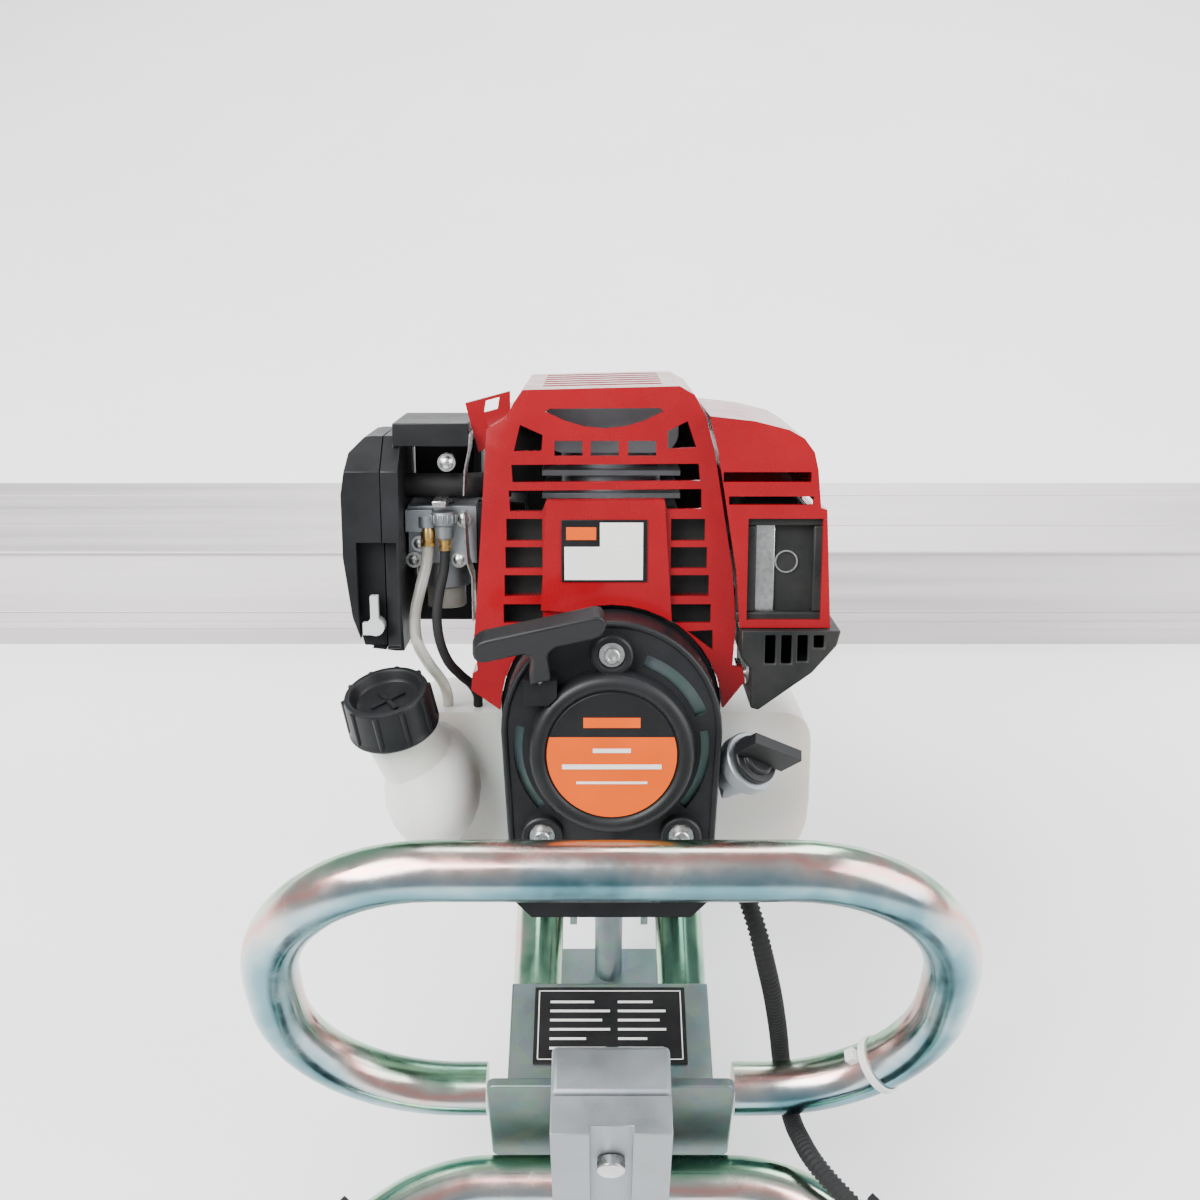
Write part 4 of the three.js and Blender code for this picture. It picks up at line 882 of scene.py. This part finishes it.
class SCREED_OT_hoses(Operator):
    """Runs the fuel hoses and the ribbed throttle conduit"""

    bl_idname = "screed.hoses"
    bl_label = "Hoses and conduit"

    def execute(self, context):
        self.conduit()
        for node, route, radius, slot in (
            ("fuel_hose", FUEL_HOSE, 2.6, "clear_hose"),
            ("return_hose", RETURN_HOSE, 2.2, "black_rubber"),
        ):
            line = smooth_line([engine_point(*p) for p in route], 60)
            tube_piece(node + "_round", line, radius * MM, finish(slot), "machine", (node,), 24)
        return {"FINISHED"}

    def conduit(self):
        lever = Vector(JOINTS["throttle_squeeze"]["pos_m"])
        arm = Vector((math.cos(HANDLE_BEND), -math.sin(HANDLE_BEND), 0))
        bracket_entry = 14.3 * MM  # the conduit ends this far before the lever's pin
        end = lever - arm * bracket_entry
        route = [Vector(p) * MM for p in CONDUIT] + [end]
        pitch_steps, length = 4, 0.0
        coarse = smooth_line(route, 200)
        for p, q in zip(coarse, coarse[1:]):
            length += (q - p).length
        pitch = 2.6 * MM
        rings = int(length / pitch)
        line = smooth_line(route, rings * pitch_steps)
        crest, root = 4.6 * MM, 3.9 * MM
        shape = (crest, crest, root, root)
        bm = bmesh.new()
        ringed_tube(bm, line, lambda i: shape[i % pitch_steps], 20)
        piece = finish_piece(
            "throttle_conduit_ribbed", bm, finish("black_rubber"), None,
            ("throttle_conduit",), 50,
        )
        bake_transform(piece)


# ---- fasteners ------------------------------------------------------------------------------------


def hex_bolt(bm, place, direction, across=8 * MM, height=5 * MM, washer=1.2 * MM):
    """A washer and a chamfered hexagonal head standing on a surface."""
    direction = Vector(direction).normalized()
    if washer:
        add_cylinder(bm, place, direction, across * 0.78, washer, 24)
    top = Vector(place) + direction * (washer * 0.98)
    add_cylinder(bm, top, direction, across / math.sqrt(3), height * 0.8, 6)
    crown = top + direction * height * 0.79
    add_cylinder(bm, crown, direction, across / math.sqrt(3) * 0.98, height * 0.2, 6, across * 0.46)


def socket_screw(bm, place, direction, radius=4.5 * MM, height=4.5 * MM):
    """A cylinder head with a round edge and a six-sided socket."""
    profile = [
        (0, height - 2.2 * MM), (radius * 0.5, height - 2.2 * MM), (radius * 0.5, height - 0.2 * MM),
        (radius * 0.56, height), (radius - 0.5 * MM, height), (radius, height - 0.5 * MM),
        (radius, 0), (0, 0),
    ]
    add_lathe(bm, profile, place, direction, 24)


def domed_screw(bm, place, direction, radius=4 * MM):
    """A low domed head."""
    dome = 2.2 * MM
    profile = [(0, dome), (radius * 0.5, dome * 0.92), (radius * 0.85, dome * 0.6)]
    profile += [(radius, 0), (0, -0.3 * MM)]
    add_lathe(bm, profile, place, direction, 24)


# ---- starter --------------------------------------------------------------------------------------


class SCREED_OT_starter(Operator):
    """Builds the starter's rims, edge, badge, bolts, pull rope and grip"""

    bl_idname = "screed.starter"
    bl_label = "Starter"

    face = -9.0  # the drum's face in the engine's space, in millimetres

    def execute(self, context):
        self.rim()
        self.edge()
        self.badge()
        self.bolts()
        self.grip()
        return {"FINISHED"}

    def rim(self):
        """The raised round rim of the starter's drum and the bosses round its bolts."""
        bm = bmesh.new()
        out = -CRANK_AXIS
        profile = [
            (0, -1), (0, 0.2), (28, 0.2), (28.3, 0.9), (29.2, 1.7), (30.8, 2.1), (33, 1.7), (34.6, 0.4),
            (35.3, -2), (35.6, -8.2), (34, -8.4), (0, -8.4),
        ]
        place = engine_point(0, self.face, 0)
        add_lathe(bm, in_metres(profile), place, out, 96)
        for (x, z), height in zip(STARTER_BOLTS, (6.5, 5, 5)):
            ring = [(0, 2.5), (5.6, 2.5), (5.8, height - 0.6), (6.4, height)]
            ring += [(8, height), (8.8, height - 0.7), (9.4, 0), (0, 0)]
            add_lathe(bm, in_metres(ring), engine_point(x, 0.2, z), out, 48)
        machine_piece("starter_rims", bm, "black_plastic", 40)

    def edge(self):
        """The rolled edge of the starter's arch, and the grey screen behind its slots."""
        angles = [math.pi * k / 24 for k in range(25)]
        arc = [(ARCH_RADIUS * math.cos(a), ARCH_CENTRE + ARCH_RADIUS * math.sin(a)) for a in angles]
        foot_x, foot_z = ARCH_FOOT
        path = [(foot_x, foot_z), *arc, (-foot_x, foot_z)]
        inset = 0.975
        line = [engine_point(x * inset, 0.4, z - 0.6) for x, z in path]
        slot = "black_plastic"
        tube_piece("starter_edge", line, 1.5 * MM, finish(slot), "machine", (), 12)
        bm = bmesh.new()
        ring = [(36.2, 0), (44.0, 0), (44.0, 0.7), (36.2, 0.7), (36.2, 0)]
        add_lathe(bm, in_metres(ring), engine_point(0, 4.6, 0), -CRANK_AXIS, 96)
        bmesh.ops.remove_doubles(bm, verts=bm.verts, dist=1e-6)
        machine_piece("starter_screen", bm, "galvanised_steel", 40)

    def badge(self):
        radius, thick, split = 27.5, 1.1, 8.0
        matrix = TO_ENGINE @ Matrix.Rotation(math.pi / 2, 4, "X")
        halves = (("badge_upper", True, "black_print"), ("badge_lower", False, "orange_print"))
        for name, upper, slot in halves:
            bm = bmesh.new()
            add_cylinder(bm, (0, 0, -self.face * MM), (0, 0, 1), radius * MM, thick * MM, 64)
            bmesh.ops.bisect_plane(
                bm,
                geom=bm.verts[:] + bm.edges[:] + bm.faces[:],
                plane_co=(0, split * MM, 0),
                plane_no=(0, 1, 0),
                clear_inner=upper,
                clear_outer=not upper,
            )
            bmesh.ops.holes_fill(bm, edges=[e for e in bm.edges if e.is_boundary], sides=0)
            bmesh.ops.transform(bm, matrix=matrix, verts=bm.verts)
            finish_piece(name, bm, finish(slot), "machine", (), 40, 0.25 * MM, 2)
        self.badge_bars("badge_bar", ((-12, 12.2, 12, 16.6),), "orange_print")
        lines = ((-8, 1.2, 8, 3), (-21, -6, 21, -4), (-15, -12.6, 15, -11.6))
        self.badge_bars("badge_lines", lines, "white_print")

    def badge_bars(self, name, boxes, slot):
        """Plain bars on the badge."""
        bm = bmesh.new()
        top = self.face - 1.35
        for x0, z0, x1, z1 in boxes:
            add_engine_box(bm, (x0, top, z0), (x1, self.face - 0.9, z1))
        finish_piece(name, bm, finish(slot), "machine", (), 40)

    def bolts(self):
        bm = bmesh.new()
        out = -CRANK_AXIS
        for x, z in STARTER_BOLTS:
            socket_screw(bm, engine_point(x, -2, z), out, 3.4 * MM, 5 * MM)
            add_cylinder(bm, engine_point(x, -2, z), out, 5.4 * MM, 1.2 * MM, 32)
        machine_piece("starter_bolts", bm, "bright_steel", 30)

    def grip(self):
        pull = Vector(JOINTS["starter_pull"]["axis"])
        port = engine_point(*ROPE_PORT)
        foot, bar_at = port + pull * GRIP_FOOT * MM, port + pull * GRIP_BAR * MM
        across = (SIDE_AXIS * 27 + UP_AXIS * 6).normalized()
        depth = across.cross(pull).normalized()
        bm = bmesh.new()
        outline = []
        half, thick, stem, drop = 28, 5.4, 3.2, 21.4
        steps = 8
        for k in range(steps + 1):
            a = math.pi / 2 - math.pi * k / steps
            outline.append((half - thick + thick * math.cos(a), thick * math.sin(a)))
        outline += [(7, -thick), (4.4, -thick - 1.6), (stem, -thick - 4), (4.4, -drop + 3), (4.6, -drop)]
        outline += [(-4.6, -drop), (-4.4, -drop + 3), (-stem, -thick - 4)]
        outline += [(-4.4, -thick - 1.6), (-7, -thick)]
        for k in range(steps + 1):
            a = -math.pi / 2 - math.pi * k / steps
            outline.append((-half + thick + thick * math.cos(a), thick * math.sin(a)))
        points = in_metres(outline)
        basis = Matrix((across, pull, -depth)).transposed().to_4x4()
        width = 9.6 * MM
        matrix = Matrix.Translation(bar_at) @ basis @ Matrix.Translation((0, 0, -width / 2))
        add_prism(bm, points, width, matrix)
        finish_piece(
            "starter_grip_moulded", bm, finish("black_plastic"), "pull_grip",
            ("starter_grip",), 40, 2.6 * MM, 4,
        )
        below = port - pull * 6 * MM
        run = foot + pull * 3 * MM - below
        line = [below + run * (k / 12) for k in range(13)]
        slot = "white_plastic"
        rope = tube_piece("starter_rope", line, 1.7 * MM, finish(slot), None, (), 16)
        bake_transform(rope)


# ---- caps -----------------------------------------------------------------------------------------


class SCREED_OT_caps(Operator):
    """Builds the ribbed fuel cap and the oil filler cap"""

    bl_idname = "screed.caps"
    bl_label = "Caps"

    def execute(self, context):
        self.fuel_cap()
        self.oil_cap()
        return {"FINISHED"}

    def fuel_cap(self):
        joint = JOINTS["fuel_cap_turn"]
        seat, axis = Vector(joint["pos_m"]), Vector(joint["axis"])
        bm = bmesh.new()
        profile = [
            (0, 13.4), (11, 13.2), (13.6, 13.8), (14.6, 15), (15.2, 18), (15.9, 18.8), (17, 19), (18, 18.6),
            (18.6, 17.4), (19, 3), (19.8, 1.6), (20, 0.9), (19.6, 0), (0, 0),
        ]
        add_lathe(bm, in_metres(profile), seat, axis, 96)
        turn = place_along(seat, axis)
        ribs = 10
        for k in range(ribs):
            spin = turn @ Matrix.Rotation(2 * math.pi * (k + 0.3) / ribs, 4, "Z")
            foot, head = spin @ Vector((18.9 * MM, 0, 1 * MM)), spin @ Vector((18.5 * MM, 0, 17.9 * MM))
            ringed_tube(bm, [foot.lerp(head, q / 3) for q in range(4)], lambda i: 1.25 * MM, 12)
        for angle in (35, 125):
            bar = turn @ Matrix.Rotation(math.radians(angle), 4, "Z")
            add_box(bm, (-1 * MM, -8 * MM, 13 * MM), (1 * MM, 8 * MM, 14.4 * MM), bar)
        slot = "black_plastic"
        finish_piece("fuel_cap_ribbed", bm, finish(slot), "tank_cap", ("fuel_cap",), 35)

    def oil_cap(self):
        joint = JOINTS["oil_cap_turn"]
        axis = Vector(joint["axis"])
        stem = 6.3 * MM  # from the joint's point to the cap's seat
        seat = Vector(joint["pos_m"]) + axis * stem
        bm = bmesh.new()
        profile = [
            (0, 5.4), (6.4, 5.4), (7.4, 4.8), (7.8, 3.2), (10.4, 3), (11, 2.4), (11, 0.4), (10.6, 0), (0, 0),
        ]
        add_lathe(bm, in_metres(profile), seat, axis, 48)
        turn = place_along(seat, axis)
        add_box(bm, (-12.6 * MM, -2.6 * MM, 4 * MM), (12.6 * MM, 2.6 * MM, 17.8 * MM), turn)
        finish_piece(
            "oil_cap_moulded", bm, finish("black_plastic"), "oil_filler_cap",
            ("oil_cap",), 35, 0.7 * MM, 3,
        )
        bm = bmesh.new()
        neck = [
            (0, -16), (10.2, -16), (10.2, -7.6), (12.8, -7),
            (13.4, -6.2), (13.4, -0.9), (12.8, -0.3), (0, -0.3),
        ]
        add_lathe(bm, in_metres(neck), seat, axis, 64)
        machine_piece("oil_neck_flange", bm, "cast_aluminium")


# ---- labels ---------------------------------------------------------------------------------------


class SCREED_OT_labels(Operator):
    """Lays the blank data plate and the blank cover label"""

    bl_idname = "screed.labels"
    bl_label = "Labels"

    def execute(self, context):
        self.data_plate()
        self.cover_label()
        return {"FINISHED"}

    def data_plate(self):
        low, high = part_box("rear_plate")
        top = low.z + DECK_ABOVE_FLANGE
        front, rear = high.y - 3 * MM, high.y - 46 * MM
        half = 38 * MM
        bm = bmesh.new()
        add_box(bm, (-half, rear, top + 0.1 * MM), (half, front, top + 0.8 * MM))
        painted_reflection_band = finish("black_print")
        finish_piece("data_plate", bm, painted_reflection_band, "machine", (), 40, 0.2 * MM, 2)
        bm = bmesh.new()
        upper = top + 0.75 * MM
        skin = upper + 0.15 * MM
        line = 0.5 * MM
        edge = 2 * MM
        for x0, y0, x1, y1 in (
            (-half + edge, front - edge - line, half - edge, front - edge),
            (-half + edge, rear + edge, half - edge, rear + edge + line),
            (-half + edge, rear + edge, -half + edge + line, front - edge),
            (half - edge - line, rear + edge, half - edge, front - edge),
        ):
            add_box(bm, (x0, y0, upper), (x1, y1, skin))
        row = 5.2 * MM
        for k, length in enumerate((22, 30, 26, 30, 18, 28)):
            y = front - 8 * MM - row * k
            reach = length * MM
            add_box(bm, (-30 * MM, y - 1.3 * MM, upper), (-30 * MM + reach, y, skin))
            add_box(bm, (4 * MM, y - 1.3 * MM, upper), (4 * MM + reach * 0.8, y, skin))
        finish_piece("data_plate_lines", bm, finish("white_print"), "machine", (), 40)

    def cover_label(self):
        panel = 24.6  # the raised panel's face in the engine's space, in millimetres
        for name, low, high, proud, slot in (
            ("cover_label_border", (-21.7, 67.5), (15.4, 94.8), 0.5, "black_print"),
            ("cover_label_low", (-20.4, 68.4), (13.6, 83), 0.7, "white_print"),
            ("cover_label_high", (-5, 83), (13.6, 93.6), 0.7, "white_print"),
            ("cover_label_bar", (-19.6, 86), (-6.6, 91.6), 0.7, "orange_print"),
        ):
            bm = bmesh.new()
            add_engine_box(bm, (low[0], panel - proud, low[1]), (high[0], panel - 0.05, high[1]))
            finish_piece(name, bm, finish(slot), "machine", (), 40, 0.15 * MM, 2)


# ---- intake, muffler and frame trim ---------------------------------------------------------------


class SCREED_OT_intake(Operator):
    """Adds the intake pipe, regulator, brass nipples, heat shield and the screws round the carburettor"""

    bl_idname = "screed.intake"
    bl_label = "Intake details"

    def execute(self, context):
        self.regulator()
        self.nipples()
        self.shield()
        self.pipe()
        return {"FINISHED"}

    def regulator(self):
        bm = bmesh.new()
        base = engine_point(-74.2, 44.5, 82.5)
        profile = [
            (0, 0), (2.6, 0), (4, 1), (4.4, 6.4), (5.6, 7),
            (5.9, 7.6), (5.9, 12), (5.2, 12.9), (2, 13.2), (0, 13.2),
        ]
        add_lathe(bm, in_metres(profile), base, UP_AXIS, 48)
        teeth = 16
        for k in range(teeth):
            a = 2 * math.pi * k / teeth
            at = base + (SIDE_AXIS * math.cos(a) + CRANK_AXIS * math.sin(a)) * 5.7 * MM + UP_AXIS * 8 * MM
            add_cylinder(bm, at, UP_AXIS, 0.6 * MM, 3.6 * MM, 8)
        add_engine_box(bm, (-91.5, 44, 86), (-79.5, 49.4, 96))
        add_cylinder(bm, engine_point(-81.7, 46, 88), UP_AXIS, 4.4 * MM, 5 * MM, 32)
        machine_piece("fuel_regulator", bm, "cast_aluminium", 35, 0.3 * MM, 2)
        bm = bmesh.new()
        for x, y, z in ((-88.6, 48.8, 72.6), (-68.4, 48.8, 72.6), (-86, 48.8, 80), (-66, 48.8, 91)):
            domed_screw(bm, engine_point(x, y, z), -CRANK_AXIS, 2.6 * MM)
            add_cylinder(bm, engine_point(x, y + 0.4, z), -CRANK_AXIS, 3.6 * MM, 0.8 * MM, 24)
        machine_piece("carburettor_screws", bm, "bright_steel")

    def nipples(self):
        bm = bmesh.new()
        for x, z, radius in ((-81.7, 79.6, 3.1), (-74.2, 77.6, 2.7)):
            profile = [
                (0, 0), (radius, 0), (radius, 1.6), (radius * 0.86, 1.9), (radius * 0.86, 3), (radius, 3.4),
                (radius, 6), (radius * 0.8, 8.6), (0, 8.6),
            ]
            add_lathe(bm, in_metres(profile), engine_point(x, 45.4, z), UP_AXIS, 32)
        finish_piece("fuel_nipples", bm, finish("brass"), "machine", (), 35)

    def shield(self):
        """A thin waved heat shield between the carburettor and the cylinder, and the dark back plate."""
        upper = [(-61.4, 131), (-62, 124), (-64, 115), (-64.6, 104)]
        lower = [(-64.5, 96), (-64.2, 84), (-63.6, 74), (-61.6, 68), (-61.4, 48)]
        thick = 0.7
        bm = bmesh.new()
        matrix = TO_ENGINE @ Matrix.Translation((0, 46 * MM, 0)) @ Matrix.Rotation(math.pi / 2, 4, "X")
        for edge in (upper, lower):
            loop = edge + [(x + thick, z) for x, z in reversed(edge)]
            add_prism(bm, in_metres(loop), 14 * MM, matrix)
        machine_piece("heat_shield", bm, "bright_steel", 35, 0.15 * MM, 1)
        bm = bmesh.new()
        add_engine_box(bm, (-91.5, 86, 36), (-62, 89, 124))
        add_engine_box(bm, (-64, 78, 40), (-60, 118, 128))
        machine_piece("intake_back_plate", bm, "black_plastic", 35, 0.8 * MM, 2)

    def pipe(self):
        line = [engine_point(x, 56 - 2 * math.sin((x + 92) / 10), 105.4) for x in range(-93, -43, 2)]
        slot = "black_rubber"
        tube_piece("intake_pipe", line, 5.6 * MM, finish(slot), "machine", (), 32)
        bm = bmesh.new()
        domed_screw(bm, engine_point(-72.6, 44, 117), -CRANK_AXIS, 3 * MM)
        add_cylinder(bm, engine_point(-72.6, 48, 117), -CRANK_AXIS, 4 * MM, 4 * MM, 24)
        machine_piece("intake_clamp_screw", bm, "bright_steel")


class SCREED_OT_exhaust(Operator):
    """Adds the frame, plate and outlet behind the window of the muffler's cover"""

    bl_idname = "screed.exhaust"
    bl_label = "Exhaust details"

    def execute(self, context):
        bm = bmesh.new()
        outer, inner = (54, 49.8, 91.6, 98), (62.5, 54.5, 87, 92.5)
        for x0, z0, x1, z1 in (
            (outer[0], inner[3], outer[2], outer[3]),
            (outer[0], outer[1], outer[2], inner[1]),
            (outer[0], inner[1], inner[0], inner[3]),
            (inner[2], inner[1], outer[2], inner[3]),
        ):
            add_engine_box(bm, (x0, 22.8, z0), (x1, 27.6, z1))
        machine_piece("muffler_guard", bm, "black_steel", 35, 0.9 * MM, 3)
        bm = bmesh.new()
        add_engine_box(bm, (62, 26.4, 54), (70.8, 28.4, 93))
        machine_piece("muffler_plate", bm, "bright_steel", 35, 0.4 * MM, 2)
        bm = bmesh.new()
        add_band(bm, engine_point(*OUTLET), CRANK_AXIS, 4.4 * MM, 0.4 * MM, 0.6 * MM)
        machine_piece("muffler_outlet_ring", bm, "bright_steel")
        bm = bmesh.new()
        head = engine_point(*COVER_BOLT)
        add_cylinder(bm, head - SIDE_AXIS * 3.6 * MM, SIDE_AXIS, 2 * MM, 10 * MM, 24)
        hex_bolt(bm, head, SIDE_AXIS, 6.4 * MM, 5 * MM, 1 * MM)
        machine_piece("cover_bolt", bm, "bright_steel")
        self.shade_panels()
        return {"FINISHED"}

    def shade_panels(self):
        """Dark panels inside the cover, painted shade that makes its slots look black."""
        bm = bmesh.new()
        turn = Matrix.Rotation(math.pi / 2, 4, "X")
        # Painted shade: a back panel and two side panels in black heat paint fill the cover's inside.
        back = [(-50, 46), (46, 46), (46, 98), (42, 121), (36.5, 140), (-38, 145), (-50, 134)]
        left = [(-50, 42), (-27.5, 42), (-27.5, 97), (-50, 97)]
        right = [(24, 34), (47, 34), (45, 97), (24, 97)]
        for outline, rear, thick in ((back, 119, 1.6), (left, 38, 1.6), (right, 38, 1.6)):
            matrix = TO_ENGINE @ Matrix.Translation((0, rear * MM, 0)) @ turn
            add_prism(bm, in_metres(outline), thick * MM, matrix)
        machine_piece("cover_shade_panels", bm, "black_steel")


class SCREED_OT_fasteners(Operator):
    """Bolts the bracket, exciter and deck, lines the blade and puts the tie on the carry loop"""

    bl_idname = "screed.fasteners"
    bl_label = "Fasteners and tie"

    def execute(self, context):
        self.bracket_bolts()
        self.exciter_screws()
        self.blade_ribs()
        self.deck_bolts()
        self.tie()
        return {"FINISHED"}

    def bracket_bolts(self):
        bm = bmesh.new()
        low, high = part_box("blade_bracket")
        plate = 5.3 * MM
        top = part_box("blade")[1].z + plate
        side_inset, rear_inset, front_inset = 12 * MM, 36 * MM, 9 * MM
        for x in (low.x + side_inset, high.x - side_inset):
            for y in (low.y + rear_inset, high.y - front_inset):
                hex_bolt(bm, (x, y, top), (0, 0, 1), 10 * MM, 6 * MM, 1.6 * MM)
        for side in (-1, 1):
            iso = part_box("isolator_left" if side < 0 else "isolator_right")
            x, z = (iso[0].x + iso[1].x) / 2, (iso[0].z + iso[1].z) / 2
            hex_bolt(bm, (x, low.y + 5 * MM, z), (0, 1, 0), 11 * MM, 6.5 * MM, 1.6 * MM)
        machine_piece("bracket_bolts", bm, "bright_steel", 30, 0.3 * MM, 2)

    def exciter_screws(self):
        low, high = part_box("exciter_cover")
        bm = bmesh.new()
        z = JOINTS["eccentric_spin"]["pos_m"][2]
        face = high.y - 3 * MM
        circle, screws = 26 * MM, 6
        for k in range(screws):
            a = 2 * math.pi / screws * (k + 0.5)
            place = (circle * math.cos(a), face, z + circle * math.sin(a))
            socket_screw(bm, place, (0, 1, 0), 3.4 * MM, 3.6 * MM)
        machine_piece("exciter_screws", bm, "bright_steel", 30)

    def blade_ribs(self):
        """The fine extrusion lines that run along the blade's top and rear slope."""
        low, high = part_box("blade")
        length = high.x - low.x - 1 * MM
        start = low.x + 0.5 * MM
        bm = bmesh.new()
        ribs = ((-22.4, 57.5, 1.1), (-51.5, 25.1, 0.7), (-56, 20.2, 0.5), (8, 58, 0.35), (44, 58, 0.35))
        for y, z, radius in ribs:
            add_cylinder(bm, (start, y * MM, z * MM), (1, 0, 0), radius * MM, length, 20)
        machine_piece("blade_ribs", bm, "blade_aluminium", 40)

    def deck_bolts(self):
        saddle_y, plate = -322 * MM, 4.9 * MM
        bm = bmesh.new()
        for node in ("frame_tube_left", "frame_tube_right"):
            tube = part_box(node)
            x = (tube[0].x + tube[1].x) / 2
            hex_bolt(bm, (x, saddle_y, tube[1].z + plate), (0, 0, 1), 8 * MM, 4 * MM, 1 * MM)
        machine_piece("deck_bolts", bm, "bright_steel", 30, 0.3 * MM, 2)

    def tie(self):
        """A white cable tie round the carry loop's lower right bend."""
        line = loop_line()
        tied = Vector((131 * MM, line[0].y, 126 * MM))
        near = min(range(1, len(line) - 1), key=lambda i: (line[i] - tied).length)
        axis = (line[near + 1] - line[near - 1]).normalized()
        bm = bmesh.new()
        add_band(bm, line[near], axis, sizes().tube_radius + 0.1 * MM, 1.9 * MM, 1.3 * MM, 64)
        inward = Vector((-1, 0, 0.5)).normalized()
        head = line[near] + inward * (sizes().tube_radius + 2.4 * MM)
        add_box(bm, (-3 * MM, -3 * MM, -2.4 * MM), (3 * MM, 3 * MM, 2.4 * MM), place_along(head, axis))
        machine_piece("cable_tie", bm, "white_plastic", 40, 0.3 * MM, 2)


class SCREED_OT_grips(Operator):
    """Moulds the ribbed rubber of the two handle grips"""

    bl_idname = "screed.grips"
    bl_label = "Handle grips"

    length = 108  # of a grip, in millimetres

    def execute(self, context):
        overhang = 4 * MM
        corners = handlebar_corners()
        for name, inner, outer in (("grip_left", 1, 0), ("grip_right", 2, 3)):
            arm = (corners[outer] - corners[inner]).normalized()
            end = corners[outer] + arm * overhang
            line = [end - arm * (self.length - k) * MM for k in range(self.length + 1)]
            bm = bmesh.new()
            ringed_tube(bm, line, self.radius_at, 40)
            slot = "black_rubber"
            finish_piece(name + "_ribbed", bm, finish(slot), "handle", (name,), 60)
        return {"FINISHED"}

    def radius_at(self, i):
        """Round flanges at both ends and shallow ribs between them, in one-millimetre steps."""
        flange = 5
        if i in (0, self.length):
            return 13.4 * MM
        if i < flange or i > self.length - flange:
            return 16 * MM
        return (15.4 if i % 6 < 4 else 14.4) * MM


class SCREED_PT_panel(Panel):
    """Lists the steps that build the dressed machine"""

    bl_idname = "SCREED_PT_panel"
    bl_label = "Power screed"
    bl_space_type = "VIEW_3D"
    bl_region_type = "UI"
    bl_category = "Screed"

    def draw(self, context):
        for step in STEPS:
            self.layout.operator(step.bl_idname)
        for settings in (stage_settings(), sizes()):
            for name in settings.bl_rna.properties.keys():
                if name not in ("rna_type", "name"):
                    self.layout.prop(settings, name)


STEPS = (
    SCREED_OT_stage,
    SCREED_OT_tubes,
    SCREED_OT_hoses,
    SCREED_OT_dressed,
    SCREED_OT_starter,
    SCREED_OT_caps,
    SCREED_OT_labels,
    SCREED_OT_intake,
    SCREED_OT_exhaust,
    SCREED_OT_fasteners,
    SCREED_OT_grips,
)
CLASSES = (ScreedStage, ScreedSizes, *STEPS, SCREED_PT_panel)


def register():
    for cls in CLASSES:
        bpy.utils.register_class(cls)
    bpy.types.Scene.screed_stage = PointerProperty(type=ScreedStage)
    bpy.types.Scene.screed_sizes = PointerProperty(type=ScreedSizes)


def unregister():
    del bpy.types.Scene.screed_sizes
    del bpy.types.Scene.screed_stage
    for cls in reversed(CLASSES):
        bpy.utils.unregister_class(cls)


def main():
    register()
    bpy.ops.screed.stage()
    bpy.ops.screed.tubes()
    bpy.ops.screed.hoses()
    bpy.ops.screed.dressed()
    bpy.ops.screed.starter()
    bpy.ops.screed.caps()
    bpy.ops.screed.labels()
    bpy.ops.screed.intake()
    bpy.ops.screed.exhaust()
    bpy.ops.screed.fasteners()
    bpy.ops.screed.grips()


if __name__ == "__main__":
    main()
